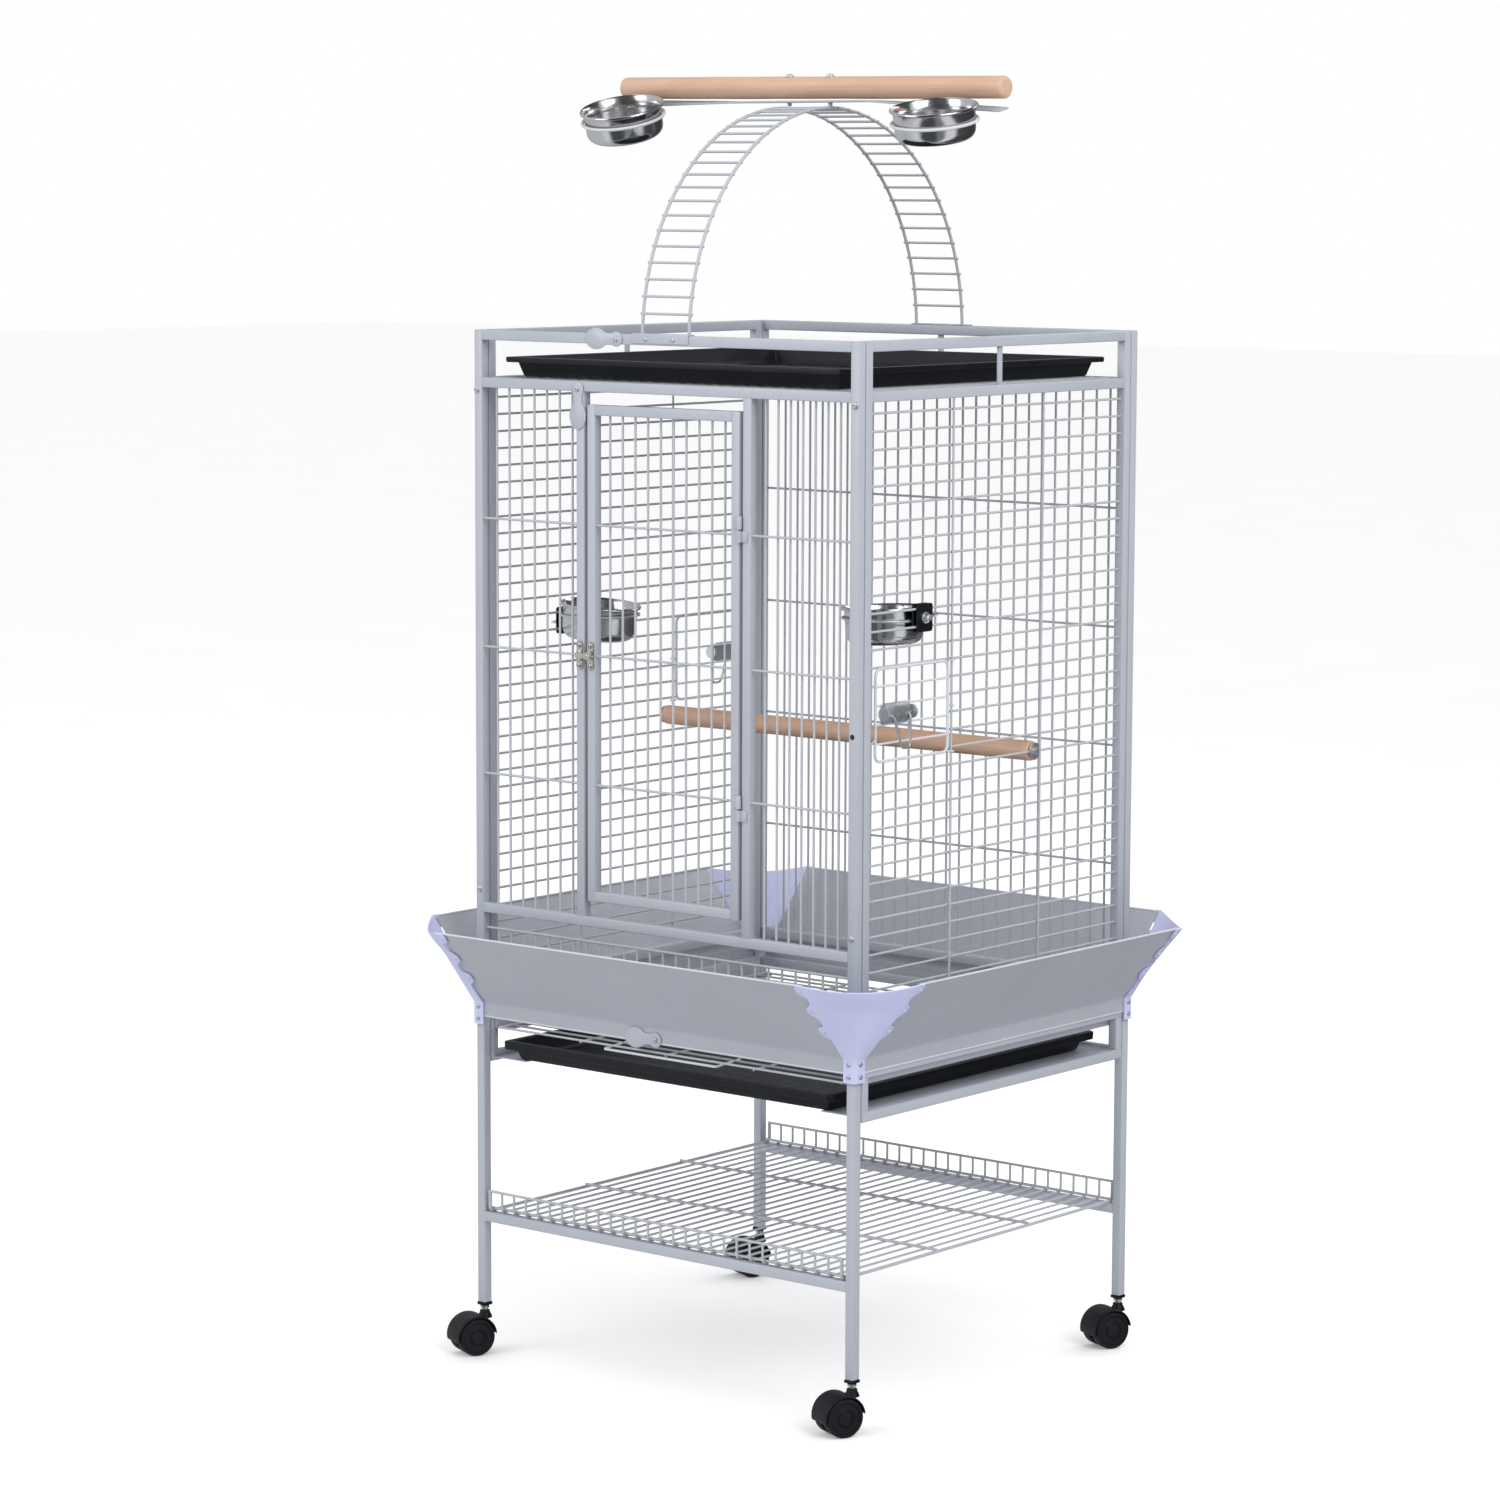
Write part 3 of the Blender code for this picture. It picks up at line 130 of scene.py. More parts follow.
def paint(name, base, rough=0.42, peel=0.0005):
    """Powder coat: faint mottling, orange peel and a little dust in the roughness."""
    m, nt, b = new_mat(name)
    v = coords(nt)
    big = noise(nt, v, 9.0, 5.0, 0.6)
    fine = noise(nt, v, 420.0, 3.0, 0.6)
    c1 = ramp(nt, big, [(0.3, tint(base, 0.955)), (0.7, tint(base, 1.035))])
    c2 = ramp(nt, fine, [(0.35, tint(base, 0.93)), (0.65, tint(base, 1.06))])
    nt.links.new(mix(nt, mapr(nt, fine, 0.25, 0.45), c1, c2), b.inputs["Base Color"])
    nt.links.new(mapr(nt, noise(nt, v, 55.0, 6.0, 0.65), rough - 0.06, rough + 0.08), b.inputs["Roughness"])
    b.inputs["Specular IOR Level"].default_value = 0.5
    bump(nt, b, noise(nt, v, 650.0, 2.0, 0.5), 0.22, peel)
    return m


def metal(name, base, r0, r1, scale=(1, 1, 1), ns=300.0, bs=0.08, spangle=0.0):
    m, nt, b = new_mat(name)
    v = coords(nt, scale)
    n = noise(nt, v, ns, 5.0, 0.6)
    col = ramp(nt, n, [(0.3, tint(base, 0.86)), (0.7, tint(base, 1.08))])
    if spangle:
        vo = nt.nodes.new("ShaderNodeTexVoronoi")
        vo.inputs["Scale"].default_value = spangle
        nt.links.new(coords(nt), vo.inputs["Vector"])
        sp = ramp(nt, vo.outputs["Distance"], [(0.0, tint(base, 0.78)), (0.8, tint(base, 1.15))])
        col = mix(nt, mapr(nt, n, 0.3, 0.6), col, sp)
    nt.links.new(col, b.inputs["Base Color"])
    b.inputs["Metallic"].default_value = 1.0
    nt.links.new(mapr(nt, noise(nt, v, ns * 0.5, 4.0, 0.6), r0, r1), b.inputs["Roughness"])
    bump(nt, b, n, bs, 0.0002)
    return m


def plastic(name, base, rough, grain=0.15, gs=900.0, mottle=0.08, coat=0.0, sub=0.0, spec=0.5):
    m, nt, b = new_mat(name)
    v = coords(nt)
    big = noise(nt, v, 14.0, 5.0, 0.6)
    nt.links.new(ramp(nt, big, [(0.3, tint(base, 1 - mottle)), (0.7, tint(base, 1 + mottle))]),
                 b.inputs["Base Color"])
    nt.links.new(mapr(nt, noise(nt, v, 70.0, 6.0, 0.65), rough - 0.05, rough + 0.09), b.inputs["Roughness"])
    b.inputs["Specular IOR Level"].default_value = spec
    b.inputs["Coat Weight"].default_value = coat
    b.inputs["Coat Roughness"].default_value = 0.25
    if sub:
        b.inputs["Subsurface Weight"].default_value = sub
        b.inputs["Subsurface Radius"].default_value = (0.006, 0.006, 0.008)
        b.inputs["Subsurface Scale"].default_value = 1.0
    bump(nt, b, noise(nt, v, gs, 2.0, 0.5), grain, 0.0004)
    return m


def wood(name):
    m, nt, b = new_mat(name)
    fine = noise(nt, coords(nt, (14, 420, 420)), 1.0, 6.0, 0.7)
    band = noise(nt, coords(nt, (2.2, 60, 60)), 1.0, 4.0, 0.6, 0.8)
    blot = noise(nt, coords(nt, (7, 22, 22)), 1.0, 3.0, 0.5)
    c1 = ramp(nt, band, [(0.25, (0.45, 0.25, 0.155)), (0.5, (0.60, 0.375, 0.255)), (0.75, (0.68, 0.46, 0.33))])
    c2 = ramp(nt, fine, [(0.35, (0.41, 0.235, 0.15)), (0.6, (0.66, 0.44, 0.325))])
    c3 = ramp(nt, blot, [(0.35, (0.50, 0.305, 0.20)), (0.65, (0.67, 0.46, 0.345))])
    c = mix(nt, mapr(nt, fine, 0.2, 0.55), c1, c2)
    nt.links.new(mix(nt, mapr(nt, blot, 0.15, 0.4), c, c3), b.inputs["Base Color"])
    nt.links.new(mapr(nt, fine, 0.5, 0.72), b.inputs["Roughness"])
    bump(nt, b, fine, 0.35, 0.0006)
    return m


PAINT = paint("powder_coat", (0.420, 0.445, 0.500), 0.40)
WIREP = paint("powder_coat_wire", (0.455, 0.470, 0.505), 0.38, 0.0003)
# darker copy of the powder coat for the skirt sheets: painted shade
SKIRT_SHADE_PAINT = paint("powder_coat_sheet_painted_shade", (0.395, 0.412, 0.462), 0.44)
# lighter copy of the powder coat: painted highlight on the hems, the skirt flange line, grate handle, feeder doors and
# bowl rings
HIGHLIGHT_PAINT = paint("powder_coat_painted_highlight", (0.60, 0.62, 0.66), 0.36)
GUARD = plastic("guard_plastic", (0.56, 0.585, 0.84), 0.34, 0.10, 700.0, 0.03, 0.15, 0.12)
TRAY = plastic("tray_plastic", (0.010, 0.011, 0.015), 0.36, 0.25, 800.0, 0.25, 0.0, 0.0, 0.20)
BLACK = plastic("caster_plastic", (0.007, 0.008, 0.011), 0.44, 0.30, 1200.0, 0.2, 0.0, 0.0, 0.22)
TREAD = plastic("caster_tread", (0.012, 0.012, 0.015), 0.62, 0.45, 1500.0, 0.2, 0.0, 0.0, 0.22)
WOOD = wood("perch_wood")
STEEL = metal("stainless", (0.66, 0.66, 0.67), 0.10, 0.24, (1, 1, 14), 160.0, 0.05)
ZINC = metal("zinc", (0.70, 0.72, 0.75), 0.44, 0.60, ns=240.0, bs=0.12, spangle=350.0)
NICKEL = metal("nickel", (0.60, 0.57, 0.53), 0.16, 0.32, ns=300.0, bs=0.08)
# near-black plastic for the hole in the post: painted shade
HOLE_SHADE_BLACK = plastic("painted_hole_shade", (0.01, 0.01, 0.012), 0.6, 0.2)


# ------------------------------------------------------------------ mesh building
class Build:
    def __init__(self):
        self.v, self.f = [], []

    def add(self, verts, faces):
        o = len(self.v)
        self.v += [tuple(p) for p in verts]
        self.f += [tuple(i + o for i in f) for f in faces]
        return self

    def rings(self, rings, close_ends=True, loop=False):
        n = len(rings[0])
        verts = [p for r in rings for p in r]
        faces = []
        m = len(rings)
        for a in range(m if loop else m - 1):
            b = (a + 1) % m
            for i in range(n):
                j = (i + 1) % n
                faces.append((a * n + i, a * n + j, b * n + j, b * n + i))
        if close_ends and not loop:
            faces.append(tuple(range(n))[::-1])
            faces.append(tuple(range((m - 1) * n, m * n)))
        return self.add(verts, faces)

    def tube(self, path, r, n=10, loop=False, tip=0.0004):
        """Round wire along a path of points."""
        path = [Vector(p) for p in path]
        m = len(path)
        if loop:
            tans = [(path[(i + 1) % m] - path[i - 1]).normalized() for i in range(m)]
        else:
            tans = [(path[min(i + 1, m - 1)] - path[max(i - 1, 0)]).normalized() for i in range(m)]
        up = Vector((0, 0, 1)) if abs(tans[0].z) < 0.9 else Vector((1, 0, 0))
        u = (up - tans[0] * up.dot(tans[0])).normalized()
        rings = []
        for i, (p, t) in enumerate(zip(path, tans)):
            u = (u - t * u.dot(t)).normalized()
            w = t.cross(u)

            def ring(q, rr):
                return [q + (u * math.cos(2 * math.pi * k / n) + w * math.sin(2 * math.pi * k / n)) * rr
                        for k in range(n)]
            if not loop and i == 0:
                rings.append(ring(p, r - tip))
                rings.append(ring(p + t * tip, r))
            elif not loop and i == m - 1:
                rings.append(ring(p - t * tip, r))
                rings.append(ring(p, r - tip))
            else:
                rings.append(ring(p, r))
        return self.rings(rings, loop=loop)

    def bent(self, pts, r, bend, n=10, loop=False, seg=5):
        return self.tube(rounded(pts, bend, loop, seg), r, n, loop)

    def bar(self, x0, x1, y0, y1, z0, z1, r=0.0012, k=3):
        """Box with rounded long edges and softened ends; runs along its longest side."""
        lo = [min(x0, x1), min(y0, y1), min(z0, z1)]
        hi = [max(x0, x1), max(y0, y1), max(z0, z1)]
        size = [h - l for h, l in zip(hi, lo)]
        ax = size.index(max(size))
        o1, o2 = [i for i in range(3) if i != ax]
        if ax == 1:
            o1, o2 = o2, o1
        h1, h2 = size[o1] / 2, size[o2] / 2
        c1, c2 = (lo[o1] + hi[o1]) / 2, (lo[o2] + hi[o2]) / 2
        r = min(r, h1 * 0.95, h2 * 0.95)
        e = min(r * 0.6, size[ax] * 0.2)

        def ring(t, inset):
            pts = []
            for q in range(4):
                s1 = 1 if q in (0, 3) else -1
                s2 = 1 if q in (0, 1) else -1
                rr = max(r - inset, 1e-5)
                for s in range(k + 1):
                    a = math.pi / 2 * (q + s / k)
                    p = [0, 0, 0]
                    p[ax] = t
                    p[o1] = c1 + s1 * (h1 - r) + rr * math.cos(a)
                    p[o2] = c2 + s2 * (h2 - r) + rr * math.sin(a)
                    pts.append(p)
            return pts
        a, b = lo[ax], hi[ax]
        return self.rings([ring(a, e), ring(a + e * 0.3, e * 0.3), ring(a + e, 0), ring(b - e, 0),
                           ring(b - e * 0.3, e * 0.3), ring(b, e)])

    def lathe(self, prof, seg, mtx, closed=False):
        """Solid of revolution about local Z; prof runs from axis to axis, or is a closed loop."""
        start = len(self.v)
        rings = []
        for (r, h) in prof:
            if r < 1e-7:
                self.v.append(tuple(mtx @ Vector((0, 0, h))))
                rings.append([len(self.v) - 1])
            else:
                ids = []
                for i in range(seg):
                    a = 2 * math.pi * i / seg
                    self.v.append(tuple(mtx @ Vector((r * math.cos(a), r * math.sin(a), h))))
                    ids.append(len(self.v) - 1)
                rings.append(ids)
        pairs = list(zip(rings[:-1], rings[1:]))
        if closed:
            pairs.append((rings[-1], rings[0]))
        for a, b in pairs:
            for i in range(seg):
                j = (i + 1) % seg
                if len(a) == 1 and len(b) == 1:
                    continue
                if len(a) == 1:
                    self.f.append((a[0], b[j], b[i]))
                elif len(b) == 1:
                    self.f.append((a[i], a[j], b[0]))
                else:
                    self.f.append((a[i], a[j], b[j], b[i]))
        return self

    def plate(self, outline, w0, w1, place, bev=0.0003):
        """Flat plate with softened rim from a 2-D outline."""
        n = len(outline)
        cx = sum(p[0] for p in outline) / n
        cy = sum(p[1] for p in outline) / n

        def off(d):
            res = []
            for i in range(n):
                p0, p1, p2 = outline[i - 1], outline[i], outline[(i + 1) % n]
                tx, ty = p2[0] - p0[0], p2[1] - p0[1]
                ln = math.hypot(tx, ty) or 1.0
                res.append((p1[0] - ty / ln * d * sgn, p1[1] + tx / ln * d * sgn))
            return res
        area = sum(outline[i - 1][0] * outline[i][1] - outline[i][0] * outline[i - 1][1] for i in range(n))
        sgn = 1 if area > 0 else -1
        inner = off(bev)
        s = 1 if w1 > w0 else -1
        rings = [[place(p[0], p[1], w0) for p in inner],
                 [place(p[0], p[1], w0 + s * bev) for p in outline],
                 [place(p[0], p[1], w1 - s * bev) for p in outline],
                 [place(p[0], p[1], w1) for p in inner]]
        return self.rings(rings)

    def done(self, name, body, material, slot=None, repl=(), angle=42.0):
        me = bpy.data.meshes.new(name)
        me.from_pydata([tuple(p) for p in self.v], [], self.f)
        me.validate()
        import bmesh
        bm = bmesh.new()
        bm.from_mesh(me)
        bmesh.ops.recalc_face_normals(bm, faces=bm.faces)
        bm.to_mesh(me)
        bm.free()
        for p in me.polygons:
            p.use_smooth = True
        me.set_sharp_from_angle(angle=math.radians(angle))
        me.materials.append(material)
        ob = bpy.data.objects.new(name, me)
        bpy.context.scene.collection.objects.link(ob)
        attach(ob, body)
        if repl:
            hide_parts(*repl)
        return ob


def rounded(pts, bend, loop=False, seg=5):
    pts = [Vector(p) for p in pts]
    n = len(pts)
    res = []
    for i, p in enumerate(pts):
        if not loop and i in (0, n - 1):
            res.append(p)
            continue
        a, b = pts[i - 1], pts[(i + 1) % n]
        da, db = (a - p), (b - p)
        k = min(bend, da.length * 0.45, db.length * 0.45)
        if k < 1e-6:
            res.append(p)
            continue
        qa, qb = p + da.normalized() * k, p + db.normalized() * k
        for s in range(seg + 1):
            t = s / seg
            res.append(qa * (1 - t) ** 2 + p * 2 * t * (1 - t) + qb * t ** 2)
    return res


def dome(b, pos, direction, r=0.0045, h=0.0026, seg=16):
    """Button-head fastener."""
    d = Vector(direction).normalized()
    m = Matrix.Translation(pos) @ d.to_track_quat('Z', 'Y').to_matrix().to_4x4()
    b.lathe([(0, -0.001), (r, -0.001), (r, h * 0.25), (r * 0.85, h * 0.72), (r * 0.45, h), (r * 0.34, h),
             (r * 0.30, h * 0.55), (0, h * 0.55)], seg, m)


def circle(r, n, cx=0.0, cy=0.0):
    return [(cx + r * math.cos(2 * math.pi * i / n), cy + r * math.sin(2 * math.pi * i / n)) for i in range(n)]


def bars_v(b, xs, y, z0, z1, r=R):
    for x in xs:
        b.tube([(x, y, z0), (x, y, z1)], r, 10)


def bars_x(b, x0, x1, y, zs, r=R):
    for z in zs:
        b.tube([(x0, y, z), (x1, y, z)], r, 10)


# ------------------------------------------------------------------ stand
def legs(name, side, node, rails):
    b = Build()
    y0, y1 = side * HY, side * (HY - T)
    for sx in (-1, 1):
        b.bar(sx * HX, sx * (HX - T), y0, y1, 0.066, 0.456, 0.0014)
    for z in rails:
        b.bar(-(HX - T) - 0.0005, HX - T + 0.0005, y0, y1, z, z + T, 0.0014)
        for sx in (-1, 1):
            b.tube([(sx * (HX - T + 0.0004), y0 - side * 0.001, z + 0.0004),
                    (sx * (HX - T + 0.0004), y0 - side * 0.001, z + T - 0.0004)], 0.0011, 6)
    b.done(name, "cage", PAINT, "paint", (node,))


legs("vis_front_legs", -1, "stand_front_legs", [0.1723])
legs("vis_rear_legs", 1, "stand_rear_legs", [0.1723, 0.377, 0.430])

for node, s in (("side_frame_left", -1), ("side_frame_right", 1)):
    b = Build()
    xo, xi = s * HX, s * (HX - T)
    for z in (0.377, 0.430):
        b.bar(xo, xi, -SY, SY, z, z + T, 0.0014)
    for sy in (-1, 1):
        b.bar(xo, xi, sy * SY, sy * (SY - T), 0.377 + T - 0.0005, 0.4305, 0.0014)
    ry = SY - 0.005
    b.bar(xi, s * 0.238, -ry, ry, 0.3817, 0.3832, 0.0006)
    b.bar(xi - s * 0.0002, xi - s * 0.0015, -ry, ry, 0.4195, 0.439, 0.0006)
    b.bar(xi, s * 0.268, -ry, ry, 0.4195, 0.421, 0.0006)
    b.done("vis_" + node, "cage", PAINT, "paint", (node,))

# shelf
b = Build()
SH_Z = 0.1723 + T + 0.0003
N, H = 29, 0.285
yo = HY - 0.0025
for i in range(N):
    x = -H + i * 2 * H / (N - 1)
    rr = 0.0022 if i in (0, N - 1) else R
    b.bent([(x, -yo, SH_Z + 0.0265), (x, -yo, SH_Z + R), (x, yo, SH_Z + R), (x, yo, SH_Z + 0.0265)], rr, 0.006, 8)
for sy in (-1, 1):
    b.tube([(-H - 0.002, sy * (yo + 0.0), SH_Z + 0.0265), (H + 0.002, sy * yo, SH_Z + 0.0265)], 0.0017, 10)
for y in (-0.275, -0.095, 0.095, 0.275):
    b.tube([(-H - 0.002, y, SH_Z + 0.0040 + 0.0003), (H + 0.002, y, SH_Z + 0.0043)], 0.0019, 10)
b.done("vis_shelf", "cage", WIREP, "paint", ("shelf_wires",))


# ------------------------------------------------------------------ seed guard sheets
FLARE, ZS0, ZS1 = 0.085, 0.437, 0.555
K = FLARE / (ZS1 - 0.456) * 0.99


def skirt(name, axis, s):
    half = (HX if axis == 'y' else HY) - 0.0145
    if axis == 'y':
        place = lambda u, v, w: (w, s * (HY + u), v)
    else:
        place = lambda u, v, w: (s * (HX + u), w, v)
    a, th = 0.0005, 0.0010
    mid = [(a, ZS0)]
    for i in range(7):
        t = i / 6
        z = 0.453 + 0.006 * t
        mid.append((a + K * 0.5 * 0.006 * t * t, z))
    top = (a + K * (ZS1 - 0.456) - 0.0012, ZS1 - 0.0012)
    mid.append(top)
    b = Build()
    n = Vector((-K, 1)).normalized()
    outer, inner = [], []
    for i, p in enumerate(mid):
        q = Vector(mid[max(i - 1, 0)])
        w = Vector(mid[min(i + 1, len(mid) - 1)])
        t = (w - q).normalized()
        nn = Vector((t.y, -t.x))
        outer.append((p[0] + nn.x * th, p[1] + nn.y * th))
        inner.append(p)
    loop = outer + inner[::-1]
    ws = [-half, -half + 0.0004, half - 0.0004, half]
    rings = []
    for w in ws:
        rings.append([place(u, v, w) for u, v in loop])
    b.rings(rings)
    # the skirt sheets take the darker powder coat copy, painted shade
    b.done("vis_" + name, "cage", SKIRT_SHADE_PAINT, "paint", (name,), angle=30)
    # rolled top hem and the bottom flange line, both in the lighter powder coat copy, a painted highlight
    h = Build()
    hem = [place(top[0] + 0.0004, top[1] + 0.0001, w) for w in (-half + 0.0002, half - 0.0002)]
    h.tube(hem, 0.0013, 10)
    h.bar(*_span(place(a + 0.0002, ZS0 + 0.0002, -half + 0.0003), place(a + 0.0013, ZS0 + 0.0022, half - 0.0003)), r=0.0004)
    h.done("vis_hem_painted_highlight_" + name, "cage", HIGHLIGHT_PAINT, "paint")


def _span(p, q):
    return (p[0], q[0], p[1], q[1], p[2], q[2])


skirt("skirt_front", 'y', -1)
skirt("skirt_back", 'y', 1)
skirt("skirt_left", 'x', -1)
skirt("skirt_right", 'x', 1)


# ------------------------------------------------------------------ corner guards
def smooth01(t):
    t = max(0.0, min(1.0, t))
    return t * t * (3 - 2 * t)


def guard(tag, sx, sy):
    c = 0.00195
    z0, zb, zt = 0.427, 0.455, ZS1 + 0.0002
    slope = K + 0.002
    reach = c + (zt - zb) * slope
    NS, NT = 30, 22
    tabs = ((0.30, 0.46), (0.575, 0.735), (0.85, 1.01))

    def base(s, t):
        if s < 0:
            z, f = zb + (zb - z0) * s, 0.0
        else:
            z, f = zb + (zt - zb) * s, s
        a1, b1 = -0.012, reach
        top = Vector((a1 * (1 - t) + b1 * t, b1 * (1 - t) + a1 * t))
        bulge = 0.005 * 4 * t * (1 - t)
        top += Vector((bulge, bulge))
        # bottom follows the leg corner with a small radius
        rr = 0.004
        L = 0.014 + c
        d = t * 2 * L
        if d < L - rr:
            low = Vector((-0.014 + d, c))
        elif d > L + rr:
            low = Vector((c, c - (d - L)))
        else:
            w = (d - (L - rr)) / (2 * rr)
            p0, p1, p2 = Vector((c - rr, c)), Vector((c, c)), Vector((c, c - rr))
            low = p0 * (1 - w) ** 2 + p1 * 2 * w * (1 - w) + p2 * w * w
        p = low * (1 - f) + top * f
        z -= 0.008 * smooth01((f - 0.6) / 0.4) * 4 * t * (1 - t)
        return Vector((p.x, p.y, z))

    def pt(i, j):
        s = -1 + 2.0 * i / NS if False else None
        return None

    svals = [-1.0, -0.97, -0.5, 0.0] + [k / 26 for k in range(1, 27)]
    svals = sorted(set(svals))
    rows = []
    for s in svals:
        f = max(s, 0.0)
        ext = 0.0
        for (t0, t1) in tabs:
            m = (t0 + t1) / 2
            hw = (t1 - t0) / 2
            q = abs(s - m) / hw
            if q < 1:
                ext = max(ext, (1 - q ** 4) ** 0.5)
        edge = c + (reach - c) * f
        back = -(0.014 - 0.002 * f)
        z = base(s, 0.0).z
        row = []
        for q in (1.0, 0.5, 0.0):
            row.append((Vector((back - 0.0115 * ext * q - 0.0006 * q, edge, z)), 'a'))
        for j in range(1, NT):
            row.append((base(s, j / NT), 'm'))
        for q in (0.0, 0.5, 1.0):
            row.append((Vector((edge, back - 0.0115 * ext * q - 0.0006 * q, z)), 'b'))
        rows.append(row)
    n_i, n_j = len(rows), len(rows[0])
    P = [[r[0] for r in row] for row in rows]
    nor = [[None] * n_j for _ in range(n_i)]
    for i in range(n_i):
        for j in range(n_j):
            du = P[min(i + 1, n_i - 1)][j] - P[max(i - 1, 0)][j]
            kind = rows[i][j][1]
            if kind == 'a':
                nn = Vector((0, 1, -slope if svals[i] > 0.01 else 0))
            elif kind == 'b':
                nn = Vector((1, 0, -slope if svals[i] > 0.01 else 0))
            else:
                dv = P[i][j + 1] - P[i][j - 1]
                nn = dv.cross(du)
                if nn.x + nn.y < 0:
                    nn = -nn
            nor[i][j] = nn.normalized()
    th = 0.0018
    b = Build()

    def w(p):
        return (sx * (HX + p.x), sy * (HY + p.y), p.z)
    inner = [[w(P[i][j]) for j in range(n_j)] for i in range(n_i)]
    outer = [[w(P[i][j] + nor[i][j] * th) for j in range(n_j)] for i in range(n_i)]
    verts = [p for r in inner for p in r] + [p for r in outer for p in r]
    o = n_i * n_j
    faces = []
    for i in range(n_i - 1):
        for j in range(n_j - 1):
            a = i * n_j + j
            faces.append((a, a + 1, a + n_j + 1, a + n_j))
            faces.append((o + a, o + a + n_j, o + a + n_j + 1, o + a + 1))
    for i in range(n_i - 1):
        for j in (0, n_j - 1):
            a = i * n_j + j
            faces.append((a, a + n_j, o + a + n_j, o + a))
    for j in range(n_j - 1):
        for i in (0, n_i - 1):
            a = i * n_j + j
            faces.append((a, o + a, o + a + 1, a + 1))
    b.add(verts, faces)
    b.done("vis_guard_" + tag, "cage", GUARD, "guard", ("corner_guard_" + tag,), angle=50)
    # fixings on the leg and rivets on the tabs
    k = Build()
    for z in (0.4345, 0.4495):
        dome(k, (sx * (HX + c + th), sy * (HY - 0.0063), z), (sx, 0, 0), 0.0030, 0.0016)
        dome(k, (sx * (HX - 0.0063), sy * (HY + c + th), z), (0, sy, 0), 0.0030, 0.0016)
    k.done("vis_guard_screws_" + tag, "cage", ZINC, "zinc")
    k = Build()
    for (t0, t1) in tabs:
        s = min((t0 + t1) / 2, 0.93)
        edge = c + (reach - c) * s
        z = base(s, 0).z
        nn = Vector((0, 1, -slope)).normalized()
        p = Vector((-(0.014 - 0.002 * s) - 0.0065, edge, z)) + nn * th
        dome(k, (sx * (HX + p.x), sy * (HY + p.y), p.z), (0, sy * nn.y, nn.z), 0.0026, 0.0012, 12)
        dome(k, (sx * (HX + p.y), sy * (HY + p.x), p.z), (sx * nn.y, 0, nn.z), 0.0026, 0.0012, 12)
    k.done("vis_guard_rivets_" + tag, "cage", GUARD, "guard")


guard("fl", -1, -1)
guard("fr", 1, -1)
guard("br", 1, 1)
guard("bl", -1, 1)

# ------------------------------------------------------------------ grate
b = Build()
GX, GY0, GY1, GZ = 0.278, -0.272, 0.262, 0.4215
for i in range(25):
    y = GY0 + R + (GY1 - GY0 - 2 * R) * i / 24
    b.tube([(-GX, y, GZ + R), (GX, y, GZ + R)], R, 8)
for sx in (-1, 1):
    b.tube([(sx * (GX - 0.002), GY0, GZ + R), (sx * (GX - 0.002), GY1, GZ + R)], 0.002, 10)
for x in (-0.14, 0.0, 0.14):
    b.tube([(x, GY0 + 0.0005, GZ - 0.0003), (x, GY1 - 0.0005, GZ - 0.0003)], 0.0017, 8)
b.done("vis_grate", "floor_grate", WIREP, "paint", ("floor_grate",))
b = Build()
HH, HYY = 0.092, -0.2843
b.bent([(-HH + 0.0016, -0.2362, GZ + 0.0014), (-HH + 0.0016, HYY + 0.0016, GZ - 0.0012), (HH - 0.0016, HYY + 0.0016, GZ - 0.0012),
        (HH - 0.0016, -0.2362, GZ + 0.0014)], 0.0016, 0.004, 12)
# grate handle in the lighter powder coat copy: painted highlight
b.done("vis_grate_handle", "floor_grate", HIGHLIGHT_PAINT, "paint")


# ------------------------------------------------------------------ trays
def rrect(hx, hy, r, cy, z, k=8):
    pts = []
    for q in range(4):
        cx = (hx - r) * (1 if q in (0, 3) else -1)
        ccy = cy + (hy - r) * (1 if q in (0, 1) else -1)
        for s in range(k + 1):
            a = math.pi / 2 * (q + s / k)
            pts.append((cx + r * math.cos(a), ccy + r * math.sin(a), z))
    return pts


def tray(name, node, hx, y0, y1, z0, zl0, zl1, depth, r, body):
    hy, cy = (y1 - y0) / 2, (y0 + y1) / 2
    prof = [(depth + 0.006, z0), (depth + 0.003, z0 + 0.0004), (depth + 0.0012, z0 + 0.0022)]
    for i in range(1, 6):
        t = i / 5
        prof.append((depth + 0.0012 - 0.006 * t, z0 + 0.0022 + (zl1 - 0.0028 - z0 - 0.0022) * t))
    prof += [(depth - 0.0065, zl1 - 0.0022), (0.0030, zl1 - 0.0022), (0.0022, zl1 - 0.0032), (0.0020, zl0 + 0.0004),
             (0.0012, zl0), (0.0004, zl0 + 0.0004), (0.0, zl1 - 0.0016), (0.0005, zl1 - 0.0004), (0.0016, zl1),
             (depth - 0.0045, zl1), (depth - 0.0032, zl1 - 0.0006)]
    for i in range(1, 6):
        t = i / 5
        prof.append((depth - 0.0032 + 0.0062 * t, zl1 - 0.001 - (zl1 - 0.001 - z0 - 0.0045) * t))
    prof += [(depth + 0.005, z0 + 0.0026), (depth + 0.009, z0 + 0.0021)]
    b = Build()
    b.rings([rrect(hx - i, hy - i, max(r - i, 0.004), cy, z) for i, z in prof])
    b.done(name, body, TRAY, "tray", (node,), angle=35)


tray("vis_lower_tray", "lower_tray", 0.266, -0.279, 0.267, 0.3836, 0.398, 0.408, 0.015, 0.009, "lower_tray")
ROOF = DECK_LO + T + 0.0003
tray("vis_top_tray", "top_tray", 0.270, -0.268, 0.266, ROOF + 0.0004, 1.2635, 1.270, 0.016, 0.009, "top_tray")

